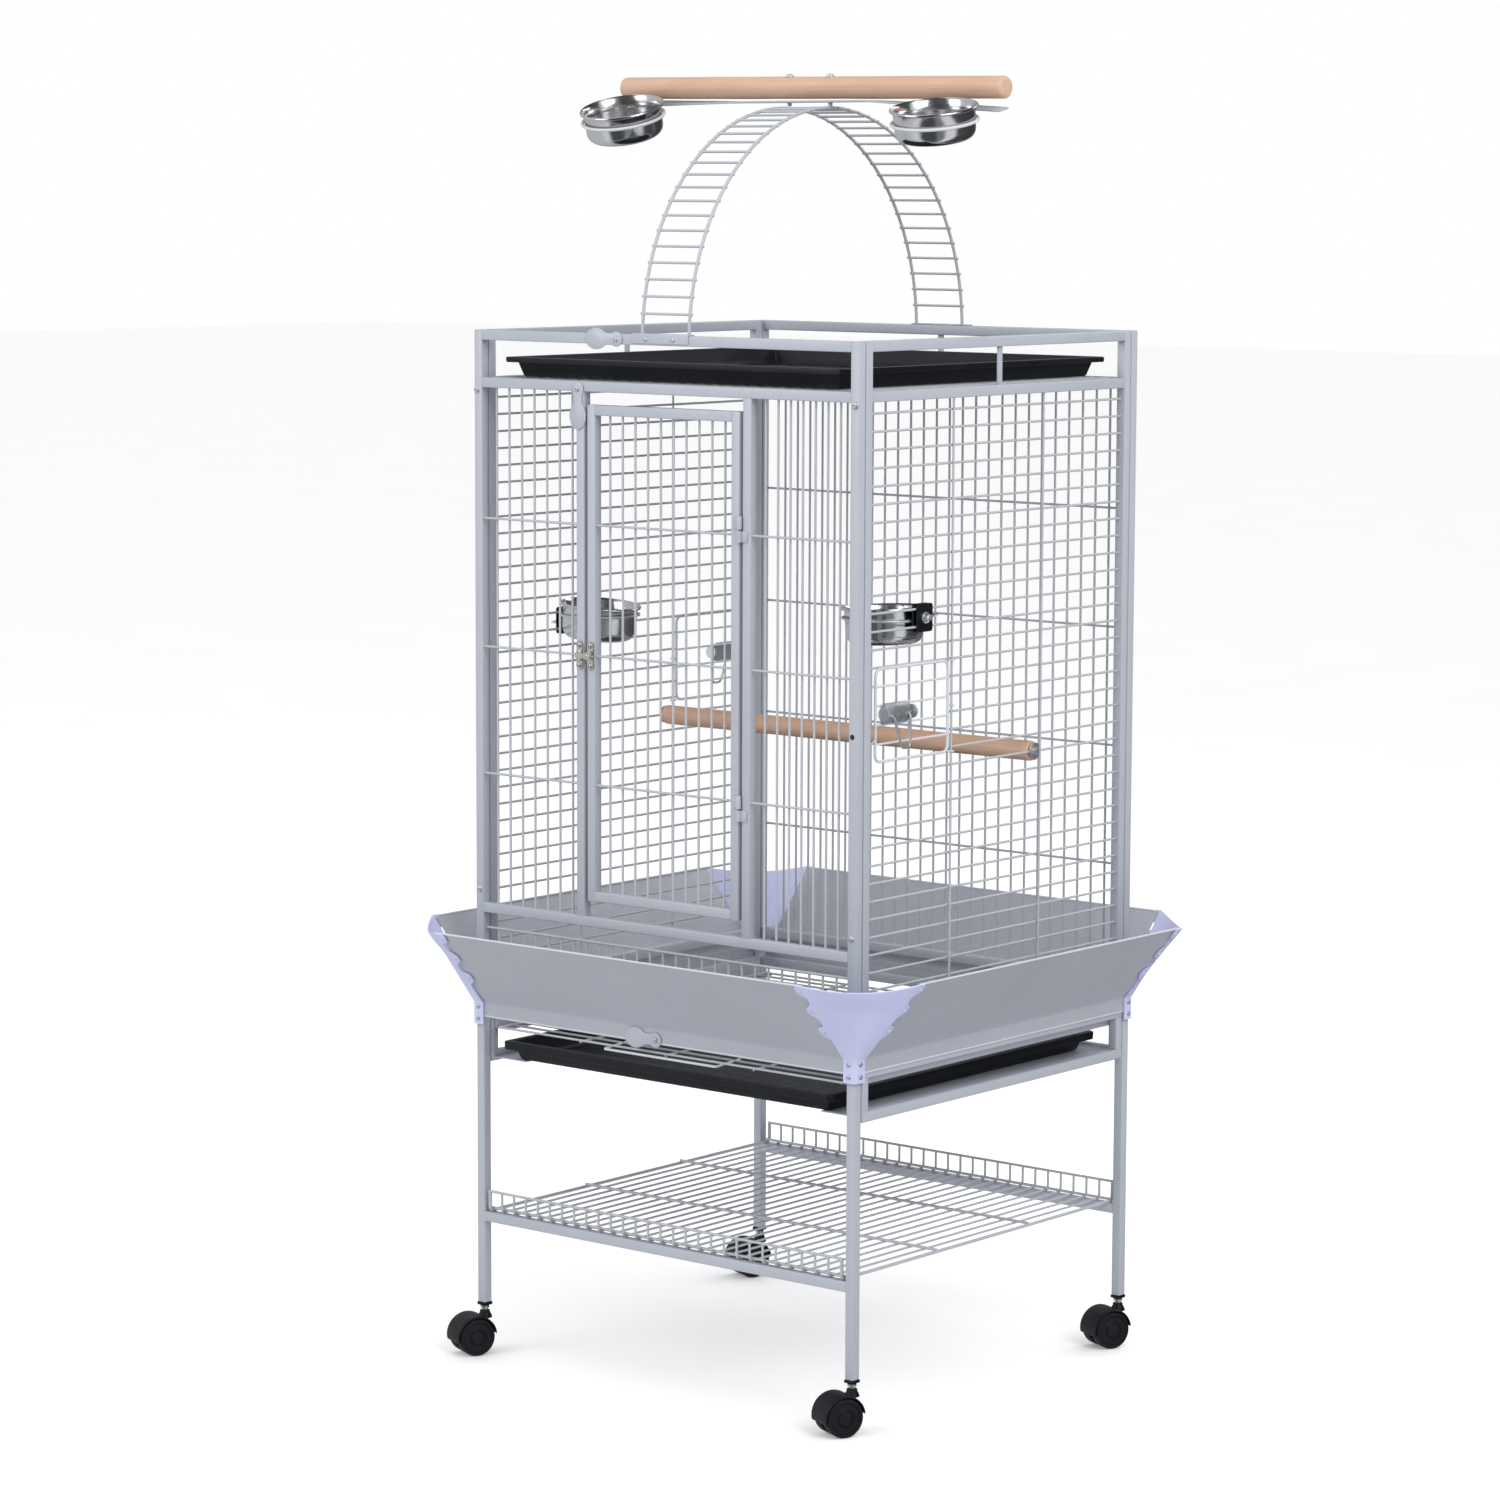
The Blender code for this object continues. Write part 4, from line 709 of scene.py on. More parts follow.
# roof wires
b = Build()
rx, ry = HX - T - 0.0004, HY - T - 0.0005
for s in (-1, 1):
    b.tube([(s * (rx - R), -ry, ROOF - R), (s * (rx - R), ry, ROOF - R)], R, 8)
    b.tube([(-rx, s * (ry - R), ROOF - R), (rx, s * (ry - R), ROOF - R)], R, 8)
for i in range(27):
    x = -rx + 2 * rx * (i + 1) / 28
    b.tube([(x, -ry, ROOF - R), (x, ry, ROOF - R)], R, 8)
for y in (-0.09, 0.09):
    b.tube([(-rx, y, ROOF - 3 * R), (rx, y, ROOF - 3 * R)], R, 8)
b.done("vis_roof_wires", "cage", WIREP, "paint", ("roof_wires",))

# ------------------------------------------------------------------ front panel
YF = -HY + T / 2
b = Build()
for sx in (-1, 1):
    b.bar(sx * HX, sx * (HX - T), -HY, -HY + T, 0.4563, Z_RIM, 0.0014)
for z in (DECK_HI, DECK_LO, CAGE_RAIL):
    b.bar(-(HX - T) - 0.0005, HX - T + 0.0005, -HY, -HY + T, z, z + T, 0.0014)
b.bar(POST_L - T, POST_L, -HY, -HY + T, CAGE_RAIL + T - 0.0005, DECK_LO + 0.0005, 0.0014)
b.bar(POST_R, POST_R + T, -HY, -HY + T, CAGE_RAIL + T - 0.0005, DECK_LO + 0.0005, 0.0014)
b.done("vis_front_frame", "cage", PAINT, "paint", ("front_panel",))
w = Build()
E = 0.0006
bars_v(w, [-0.1467 - 0.02095 * i for i in range(7)], YF, CAGE_RAIL + T - E, DECK_LO + E)
bars_v(w, [0.1603 + 0.01885 * i for i in range(7)], YF, CAGE_RAIL + T - E, DECK_LO + E)
bars_x(w, -(HX - T) - E, POST_L - T + E, YF - 0.0027, (1.069, 0.908, 0.748))
bars_x(w, POST_R + T - E, HX - T + E, YF - 0.0027, (1.069, 0.908, 0.748))
for z, r in ((0.551, 0.0018), (0.478, 0.0018)):
    w.tube([(-(HX - T) - E, YF, z), (HX - T + E, YF, z)], r, 10)
for i in range(1, 28):
    x = -(HX - T) + 2 * (HX - T) * i / 28
    w.tube([(x, YF + 0.0004, 0.478), (x, YF + 0.0004, 0.5515)], R, 8)
w.done("vis_front_wires", "cage", WIREP, "paint")
k = Build()
for z in HINGES:
    m = Matrix.Translation((AXIS[0], AXIS[1], z - 0.0145))
    k.lathe([(0, 0), (0.0028, 0), (0.0033, 0.0005), (0.0033, 0.0130), (0.0028, 0.0135), (0, 0.0135)], 16, m)
    k.bar(AXIS[0] + 0.002, POST_R + 0.0085, -HY - 0.0016, -HY - 0.0001, z - 0.0142, z - 0.0012, 0.0005)
k.done("vis_post_hinges", "cage", PAINT, "paint")
k = Build()
for sx in (-1, 1):
    dome(k, (sx * (HX - 0.005), -HY, 1.229), (0, -1, 0), 0.0046, 0.0028)
    dome(k, (sx * (HX - 0.0063), -HY, 0.600), (0, -1, 0), 0.0040, 0.0024)
    dome(k, (sx * (HX - 0.0063), HY, 1.229), (0, 1, 0), 0.0046, 0.0028)
    dome(k, (sx * (HX - 0.0063), HY, 0.600), (0, 1, 0), 0.0040, 0.0024)
k.done("vis_frame_bolts", "cage", ZINC, "zinc")
# black disc on the post front standing in for a hole: painted shade
k = Build()
k.lathe([(0, -0.001), (0.0033, -0.001), (0.0033, 0.0001), (0, 0.0001)], 20,
        Matrix.Translation((0.298, -HY, 0.840)) @ Matrix.Rotation(math.pi / 2, 4, 'X'))
k.done("vis_post_hole_painted_shade", "cage", HOLE_SHADE_BLACK, "black")

# back panel
b = Build()
YB = HY - T / 2
for sx in (-1, 1):
    b.bar(sx * HX, sx * (HX - T), HY, HY - T, 0.4563, Z_RIM, 0.0014)
for z in (DECK_HI, DECK_LO, HIDDEN):
    b.bar(-(HX - T) - 0.0005, HX - T + 0.0005, HY - T, HY, z, z + T, 0.0014)
b.bar(-0.004, 0.004, YB - R, YB + R, DECK_LO + T - E, DECK_HI + E, 0.0006)
b.done("vis_back_frame", "cage", PAINT, "paint", ("back_panel",))
w = Build()
bars_v(w, [-0.0056 + 0.0211 * i for i in range(-12, 14)], YB, HIDDEN + T - E, DECK_LO + E)
bars_x(w, -(HX - T) - E, HX - T + E, YB + 0.0027, (1.079, 0.928, 0.777, 0.625))
w.done("vis_back_wires", "cage", WIREP, "paint")

# side panels
FZ0, FZ1, FHY = 0.805, 0.919, 0.0955
ROW_TOP, ROW_P = 1.2184, 0.02142
XS = HX - T / 2
WX = XS + R + 0.0003 + R


def turned(s):
    """Right-panel coordinates to either panel; the left one is turned half round."""
    return (lambda x, y, z: (x, y, z)) if s > 0 else (lambda x, y, z: (-x, -y, z))


for tag, s in (("right", 1), ("left", -1)):
    g = turned(s)

    def gb(build, x0, x1, y0, y1, z0, z1, r=0.0014):
        p, q = g(x0, y0, z0), g(x1, y1, z1)
        build.bar(p[0], q[0], p[1], q[1], p[2], q[2], r)
    b = Build()
    for sy in (-1, 1):
        gb(b, HX - T, HX, sy * SY, sy * (SY - T), 0.4563, Z_RIM)
    for z in (DECK_HI, DECK_LO, HIDDEN):
        gb(b, HX - T, HX, -(SY - T) - 0.0005, SY - T + 0.0005, z, z + T)
    gb(b, XS - R, XS + R, -0.004, 0.004, DECK_LO + T - E, DECK_HI + E, 0.0006)
    b.done("vis_side_frame_panel_" + tag, "cage", PAINT, "paint", ("side_panel_" + tag,))
    w = Build()
    for kk in range(34):
        z = ROW_TOP - kk * ROW_P
        ya = -(SY - T) - E
        if FZ0 - 0.002 < z < FZ1 - 0.002:
            ya = -FHY - R
        w.tube([g(XS, ya, z), g(XS, SY - T + E, z)], R, 10)
    w.tube([g(XS + 0.0027, 0.088, HIDDEN + T - E), g(XS + 0.0027, 0.088, DECK_LO + E)], R, 10)
    w.done("vis_side_wires_" + tag, "cage", WIREP, "paint")
    w = Build()
    w.tube([g(WX, -FHY, HIDDEN + T - E), g(WX, -FHY, DECK_LO + E)], R, 12)
    w.done("vis_feeder_hinge_wire_" + tag, "cage", WIREP, "paint", ("feeder_hinge_wire_" + tag,))
    # feeder door: rounded wire rectangle with loops on the hinge wire
    x = WX
    ya, yb = -0.2442, -0.1028
    w = Build()
    w.bent([g(x, ya, FZ0 + 0.0018), g(x, yb, FZ0 + 0.0018), g(x, yb, FZ1 - 0.0018), g(x, ya, FZ1 - 0.0018)],
           0.0018, 0.010, 12, True, 6)
    for i in range(1, 5):
        z = FZ0 + (FZ1 - FZ0) * i / 5
        w.tube([g(x - 0.0002, ya, z), g(x - 0.0002, yb, z)], 0.0014, 10)
    for z in (FZ0 + 0.0018, FZ1 - 0.0018, (FZ0 + FZ1) / 2):
        w.tube([g(x, yb, z), g(x, -FHY - 0.0036, z)], 0.0013, 10)
        ring = [g(x + 0.0030 * math.cos(a), -FHY + 0.0030 * math.sin(a), z)
                for a in [2 * math.pi * q / 20 for q in range(20)]]
        w.tube(ring, 0.0011, 8, True)
    # feeder door in the lighter powder coat copy: painted highlight
    w.done("vis_feeder_door_" + tag, "feeder_" + tag, HIGHLIGHT_PAINT, "paint", ("feeder_door_" + tag,))
    # sheet latch: a half-round trough with two round lugs
    lx = WX + R + 0.0003
    ly0, ly1, lz0, lz1 = -0.238, -0.181, 0.850, 0.877
    c = Build()
    zc, rr = (lz0 + lz1) / 2, (lz1 - lz0) / 2 - 0.001
    rings = []
    for y in (ly0 + 0.006, ly0 + 0.0064, ly1 - 0.0064, ly1 - 0.006):
        ins = 0.0003 if y in (ly0 + 0.006, ly1 - 0.006) else 0.0
        ring = []
        for q in range(17):
            a = -math.pi / 2 + math.pi * q / 16
            ring.append(g(lx + 0.0002 + (rr - ins) * 0.52 * math.cos(a), y, zc + (rr - ins) * math.sin(a)))
        rings.append(ring)
    c.rings(rings)
    c.done("vis_latch_trough_" + tag, "feeder_" + tag, ZINC, "zinc", ("feeder_latch_plate_" + tag,))
    c = Build()
    outl = [(ly0, lz0 + 0.002), (ly1, lz0 + 0.002), (ly1, lz1 - 0.002), (ly0, lz1 - 0.002)]
    outl = [(p.x, p.y) for p in rounded([Vector((a, bb, 0)) for a, bb in outl], 0.005, True, 5)]
    c.plate(outl, lx, lx + 0.0012, lambda u, v, ww: g(ww, u, v), 0.0003)
    for y in (ly0 + 0.0005, ly1 - 0.0020):
        c.plate(circle(0.0085, 24, lx + 0.0052, 0.8635), y, y + 0.0015,
                lambda u, v, ww: g(u, ww, v), 0.0003)
    c.done("vis_latch_plate_" + tag, "feeder_" + tag, ZINC, "zinc")
    # bail
    bx_ = lx + 0.005
    c = Build()
    c.bent([g(bx_, ly0 + 0.0024, 0.8635), g(bx_, -0.2205, 0.8635)], 0.0014, 0.002, 10)
    c.bent([g(bx_, ly0 + 0.0024, 0.8635), g(bx_ + 0.0001, ly0 + 0.0065, 0.8635), g(bx_ + 0.0042, -0.2215, 0.8598),
            g(bx_ + 0.0042, -0.2065, 0.8212), g(bx_ + 0.0042, -0.1905, 0.8212), g(bx_ + 0.0042, -0.1905, 0.8598),
            g(bx_, ly1 - 0.0065, 0.8635), g(bx_, ly1 - 0.0024, 0.8635)], 0.0015, 0.005, 12)
    c.done("vis_bail_" + tag, "bail_" + tag, ZINC, "zinc", ("feeder_latch_bail_" + tag,))
    # hooks on the post where the feeder door closes
    c = Build()
    for z in (0.830, 0.896):
        c.bent([g(HX - T / 2, -SY + T - 0.0008, z), g(HX + 0.0004, -SY + T + 0.001, z),
                g(HX + 0.0004, -0.2475, z + 0.006)], 0.0012, 0.003, 8)
    c.done("vis_feeder_hooks_" + tag, "cage", WIREP, "paint")

# ------------------------------------------------------------------ door
b = Build()
b.bar(DX0, DX0 + T, -HY, -HY + T, DZ0, DZ1, 0.0014)
b.bar(DX1 - T, DX1, -HY, -HY + T, DZ0, DZ1, 0.0014)
b.bar(DX0 + T - 0.0005, DX1 - T + 0.0005, -HY, -HY + T, DZ0, DZ0 + T, 0.0014)
b.bar(DX0 + T - 0.0005, DX1 - T + 0.0005, -HY, -HY + T, DZ1 - T, DZ1, 0.0014)
b.done("vis_door_frame", "door", PAINT, "paint", ("front_door",))
w = Build()
bars_v(w, [-0.0851 + 0.0203 * i for i in range(10)], YF, DZ0 + T - E, DZ1 - T + E)
bars_x(w, DX0 + T - E, DX1 - T + E, YF - 0.0027, (1.069, 0.908, 0.748))
w.done("vis_door_wires", "door", WIREP, "paint")
k = Build()
for z in HINGES:
    m = Matrix.Translation((AXIS[0], AXIS[1], z + 0.0010))
    k.lathe([(0, 0), (0.0028, 0), (0.0033, 0.0005), (0.0033, 0.0150), (0.0024, 0.0160), (0, 0.0164)], 16, m)
    k.bar(AXIS[0] - 0.0015, DX1 - 0.008, -HY - 0.0016, -HY - 0.0001, z + 0.0014, z + 0.0156, 0.0005)
k.done("vis_door_hinges", "door", PAINT, "paint")

# latch: two lobed base plates and a bow-tie turn piece
LX, LZ = DX0 + T / 2, 0.908


def lobed(cx, hz, r, waist, n=40):
    pts = []
    for i in range(n):
        a = 2 * math.pi * i / n
        s, c = math.sin(a), math.cos(a)
        z = (hz + r) * s
        d = abs(abs(z) - hz)
        wd = math.sqrt(max(0.0, r * r - d * d)) if abs(z) > hz else r
        dip = math.exp(-((abs(z)) / (hz * 0.55)) ** 2)
        wd = wd * (1 - dip) + waist * dip if abs(z) < hz else wd
        pts.append((cx + (wd if c > 0 else -wd) * (1 if abs(c) > 1e-6 else 0), LZ + z))
    return pts


kb = Build()
kb.plate(lobed(POST_L - T / 2, 0.0125, 0.0055, 0.0035), -HY - 0.0001, -HY - 0.0016, lambda u, v, ww: (u, ww, v), 0.0003)
for dz in (-0.0125, 0.0125):
    dome(kb, (POST_L - T / 2, -HY - 0.0016, LZ + dz), (0, -1, 0), 0.0034, 0.0018)
kb.bar(POST_L - T / 2 - 0.0035, POST_L - T / 2 + 0.0035, -HY - 0.0040, -HY - 0.0014, LZ - 0.0065, LZ + 0.0065, 0.0008)
kb.done("vis_latch_keeper", "cage", NICKEL, "nickel", ("latch_keeper",))
kb = Build()
kb.plate(lobed(LX, 0.0125, 0.0055, 0.0045), -HY - 0.0001, -HY - 0.0016, lambda u, v, ww: (u, ww, v), 0.0003)
for dz in (-0.0125, 0.0125):
    dome(kb, (LX, -HY - 0.0016, LZ + dz), (0, -1, 0), 0.0034, 0.0018)
kb.done("vis_latch_base", "door", NICKEL, "nickel")
kb = Build()
bow = [(-0.0215, 0.0), (-0.0195, 0.0042), (-0.0125, 0.0052), (-0.0070, 0.0024), (-0.0035, 0.0048), (0.0015, 0.0058),
       (0.0055, 0.0040), (0.0085, 0.0012), (0.0085, -0.0012), (0.0055, -0.0040), (0.0015, -0.0058), (-0.0035, -0.0048),
       (-0.0070, -0.0024), (-0.0125, -0.0052), (-0.0195, -0.0042)]
bow = [(p.x, p.y) for p in rounded([Vector((a, c, 0)) for a, c in bow], 0.0016, True, 4)]
kb.plate([(LX + u, LZ + v) for u, v in bow], -HY - 0.0052, -HY - 0.0068, lambda u, v, ww: (u, ww, v), 0.0004)
kb.lathe([(0, 0), (0.0032, 0), (0.0032, 0.0036), (0, 0.0036)], 20,
         Matrix.Translation((LX, -HY - 0.0017, LZ)) @ Matrix.Rotation(math.pi / 2, 4, 'X'))
kb.lathe([(0, 0), (0.0034, 0), (0.0034, 0.0008), (0.0026, 0.0020), (0.0012, 0.0026), (0, 0.0026)], 20,
         Matrix.Translation((LX, -HY - 0.0066, LZ)) @ Matrix.Rotation(math.pi / 2, 4, 'X'))
kb.lathe([(0, 0), (0.0026, 0), (0.0018, 0.0020), (0.0030, 0.0044), (0.0026, 0.0060), (0, 0.0066)], 18,
         Matrix.Translation((LX + 0.0060, -HY - 0.0064, LZ)) @ Matrix.Rotation(math.pi / 2, 4, 'X'))
kb.done("vis_latch_turn", "door_latch", NICKEL, "nickel", ("door_latch",))


# ------------------------------------------------------------------ locking flaps
def flap(name, node, px, py, pz, deg, body):
    r0, r1, drop, e1 = 0.0090, 0.0130, 0.033, 1.3
    top, bot = r0, -(drop + r1 * e1)
    n = 30
    right = []
    for i in range(n + 1):
        t = 0.5 - 0.5 * math.cos(math.pi * i / n)
        v = top + (bot - top) * t
        c0 = math.sqrt(max(0.0, r0 * r0 - v * v))
        q = (v + drop) / (r1 * e1)
        c1 = r1 * math.sqrt(max(0.0, 1 - q * q))
        nk = 0.0072 if -drop < v < 0 else 0.0
        right.append(((c0 ** 7 + c1 ** 7 + nk ** 7) ** (1 / 7), v))
    pts = right + [(-u, v) for u, v in right[::-1][1:-1]]
    ca, sa = math.cos(math.radians(deg)), math.sin(math.radians(deg))
    place = lambda u, v, w: (px + u * ca - v * sa, py + w, pz + u * sa + v * ca)
    b = Build()
    b.plate(pts, 0.0, -0.0016, place, 0.0004)
    b.done(name, body, PAINT, "paint", (node,), angle=50)
    k = Build()
    dome(k, (px, py - 0.0016, pz), (0, -1, 0), 0.0038, 0.0022)
    k.done(name + "_screw", body, ZINC, "zinc")


flap("vis_flap_play_top", "flap_play_top", -0.0685, -HY - 0.0003, 1.297, -90, "flap_play_top")
flap("vis_flap_door", "flap_door", -0.1316, -HY - 0.0003, 1.235, 0, "flap_door")
flap("vis_flap_tray", "flap_tray", -0.0035, -HY - 0.0019, 0.442, -90, "flap_tray")

# ------------------------------------------------------------------ ladder arch
AA, AB, AZ = 0.2725, 0.2810, 1.297


def arch(th, off=0.0):
    n = Vector((0, -math.cos(th) / AA, math.sin(th) / AB)).normalized()
    return Vector((0, -AA * math.cos(th), AZ + AB * math.sin(th))) + n * off


b = Build()
th0 = math.radians(1.5)
for sx in (-1, 1):
    pts = [(sx * 0.037, -AA, Z_RIM + 0.0012)]
    for i in range(73):
        p = arch(th0 + (math.pi - 2 * th0) * i / 72, 0.0)
        pts.append((sx * 0.037, p.y, p.z))
    pts.append((sx * 0.037, AA, Z_RIM + 0.0012))
    b.tube(pts, 0.0021, 10)
for kk in range(1, 41):
    th = math.pi * (kk + 0.5) / 42
    p = arch(th, 0.0)
    b.tube([(-0.0410, p.y, p.z), (0.0410, p.y, p.z)], 0.0016, 10)
b.done("vis_ladder", "cage", WIREP, "paint", ("ladder_front", "ladder_back"))
b = Build()
k = Build()
for sy in (-1, 1):
    b.bar(-0.045, 0.045, sy * (HY - T + 0.001), sy * (HY + 0.0015), Z_RIM + 0.0002, Z_RIM + 0.0016, 0.0006)
    b.bar(-0.045, 0.045, sy * (HY + 0.0003), sy * (HY + 0.0016), Z_RIM - 0.0105, Z_RIM + 0.0014, 0.0006)
    for x in (-0.022, 0.022):
        dome(k, (x, sy * (HY + 0.0016), Z_RIM - 0.0052), (0, sy, 0), 0.0032, 0.0016)
b.done("vis_ladder_clips", "cage", PAINT, "paint")
k.done("vis_ladder_screws", "cage", ZINC, "zinc")

# ------------------------------------------------------------------ perches
PZ, PR, TCX, PTILT = 1.6030, 0.0140, 0.0023, 0.0074


def perch(name, node, cx, y, z, half, r, bev, wob, seed, tilt=0.0):
    seg, rings = 40, []
    xs = [-half, -half + bev * 0.12, -half + bev * 0.5, -half + bev]
    m = 40
    xs += [-half + bev + (2 * half - 2 * bev) * i / m for i in range(1, m)]
    xs += [half - bev, half - bev * 0.5, half - bev * 0.12, half]
    ins = [bev, bev * 0.62, bev * 0.16, 0.0] + [0.0] * (m - 1) + [0.0, bev * 0.16, bev * 0.62, bev]
    for x, d in zip(xs, ins):
        ring = []
        for i in range(seg):
            a = 2 * math.pi * i / seg
            k = wob * (math.sin(x * 23 + seed + 2 * a) + 0.6 * math.sin(x * 61 + seed * 3 - 3 * a)) - 1.7 * wob
            ring.append((cx + x, y + (r - d + k) * math.cos(a), z - x * tilt + (r - d + k) * math.sin(a)))
        rings.append(ring)
    b = Build()
    b.rings(rings)
    b.done(name, "cage", WOOD, "wood", (node,), angle=50)


perch("vis_perch_top", "perch_top", TCX, 0.0, PZ, 0.3033, PR, 0.004, 0.00012, 1.0, PTILT)
perch("vis_perch_inner", "perch_inner", 0.0, 0.078, 0.790, 0.2968, 0.0125, 0.002, 0.00010, 4.0)
k = Build()
for x in (-0.0305, 0.0345):
    m = Matrix.Translation((x, 0, PZ + PR - 0.001 - (x - TCX) * PTILT))
    k.lathe([(0, 0), (0.0060, 0), (0.0060, 0.0012), (0.0044, 0.0014), (0.0044, 0.0024), (0.0036, 0.0036), (0.0016, 0.0041),
             (0.0014, 0.0030), (0, 0.0030)], 20, m)
for s in (-1, 1):
    m = Matrix.Translation((s * (XS + R + 0.0002), 0.078, 0.790)) @ Matrix.Rotation(s * math.pi / 2, 4, 'Y')
    k.lathe([(0, 0), (0.0105, 0), (0.0110, 0.0005), (0.0105, 0.0011), (0.0048, 0.0012), (0.0048, 0.0036),
             (0.0040, 0.0046), (0, 0.0048)], 24, m)
k.done("vis_perch_bolts", "cage", ZINC, "zinc")

# cross bar under the top perch: straight in the middle, drooping and twisted forward to its ends
BZ1 = 1.5872
BMID = BZ1 - 0.0013
BFLAT, BFULL, BHALF = 0.100, 0.240, 0.3015
BDROOP, LEAN, ROLL = (0.0005, 0.0118), (17.2, 12.0), (3.7, 3.4)
ARCH_TOP = AZ + AB + 0.002


def bar_bend(x):
    side = 0 if x < 0 else 1
    a = max(0.0, abs(x) - BFLAT)
    return BDROOP[side] * a / (BHALF - BFLAT), math.radians(LEAN[side]) * min(1.0, a / (BFULL - BFLAT))


def strip_ring(x, inset, hy=0.010, hz=0.0013, r=0.0008):
    pts = []
    drop, tw = bar_bend(x)
    for q in range(4):
        sy, sz = (1 if q in (0, 3) else -1), (1 if q in (0, 1) else -1)
        for i in range(4):
            a = math.pi / 2 * (q + i / 3)
            u = sy * (hy - r) + (r - inset) * math.cos(a)
            h = sz * (hz - r) + (r - inset) * math.sin(a)
            pts.append((x, u * math.cos(tw) - h * math.sin(tw), BMID - drop + u * math.sin(tw) + h * math.cos(tw)))
    return pts


b = Build()
xs = [-BHALF, -BHALF + 0.0006] + [-BHALF + 2 * BHALF * i / 40 for i in range(1, 40)] + [BHALF - 0.0006, BHALF]
b.rings([strip_ring(x, 0.0005 if abs(x) == BHALF else 0.0) for x in xs])
b.done("vis_cross_bar", "cage", PAINT, "paint", ("cross_bar",))
b = Build()
for x in (-0.0305, 0.0345):
    b.lathe([(0, ARCH_TOP + 0.0004), (0.0028, ARCH_TOP + 0.0004), (0.0028, BZ1 - 0.0026), (0, BZ1 - 0.0026)], 20,
            Matrix.Translation((x, 0, 0)))
b.done("vis_bar_bolts", "cage", ZINC, "zinc")


# ------------------------------------------------------------------ bowls
def bowl_place(cx, cy, z_rim, tx, ty, drop):
    return (Matrix.Translation((cx, cy, z_rim - drop)) @ Matrix.Rotation(math.radians(tx), 4, 'X')
            @ Matrix.Rotation(math.radians(ty), 4, 'Y') @ Matrix.Translation((0, 0, drop)))


def bowl(name, node, body, m, r_rim, depth):
    rb = r_rim - 0.0042
    t = 0.0010
    cut = 0.30                     # height of the rounded lower edge over the depth
    out = [(0, -depth), (rb * 0.72, -depth)]
    for i in range(1, 9):
        a = math.pi / 2 * i / 9
        out.append((rb * 0.72 + rb * 0.26 * math.sin(a), -depth + depth * cut * (1 - math.cos(a))))
    out += [(rb * 0.983, -depth * (1 - cut)), (rb * 0.992, -depth * 0.4), (rb, -0.0042)]
    roll = []
    cr, cz, q = r_rim - 0.0020, -0.0020, 0.0020
    for i in range(11):
        a = math.radians(-140 + i * 23)
        roll.append((cr + q * math.cos(a), cz + q * math.sin(a)))
    inn = [(rb - t, -0.0030), (rb * 0.992 - t, -depth * 0.4), (rb * 0.983 - t, -depth * (1 - cut))]
    for i in range(8, 0, -1):
        a = math.pi / 2 * i / 9
        inn.append((rb * 0.72 + (rb * 0.26 - t) * math.sin(a), -depth + t + (depth * cut - t * 0.3) * (1 - math.cos(a))))
    inn += [(rb * 0.72, -depth + t), (0, -depth + t)]
    b = Build()
    b.lathe(out + roll + inn, 64, m)
    b.done(name, body, STEEL, "stainless", (node,), angle=50)


def ring_pts(m, rad, z, n=40):
    return [m @ Vector((rad * math.cos(2 * math.pi * i / n), rad * math.sin(2 * math.pi * i / n), z)) for i in range(n)]


for tag, side, cx, z, drop, tab in (("left", 0, -0.2415, 1.5817, 0.0155, 0.0648), ("right", 1, 0.2525, 1.5780, 0.0186, 0.0633)):
    m = bowl_place(cx, -0.073, z, LEAN[side], ROLL[side], drop)
    bowl("vis_top_bowl_" + tag, "top_bowl_" + tag, "top_bowl_" + tag, m, 0.054, 0.0415)
    w = Build()
    w.tube(ring_pts(m, 0.0524, -drop), 0.0021, 12, True)
    for dx in (-0.009, 0.009):
        w.bent([m @ Vector((dx, 0.0510, -drop)), m @ Vector((dx, 0.0580, -drop)), m @ Vector((dx, tab, -drop + 0.0003))],
               0.0018, 0.004, 10)
    # bowl ring in the lighter powder coat copy: painted highlight
    w.done("vis_bowl_ring_" + tag, "cage", HIGHLIGHT_PAINT, "paint", ("bowl_ring_" + tag,))

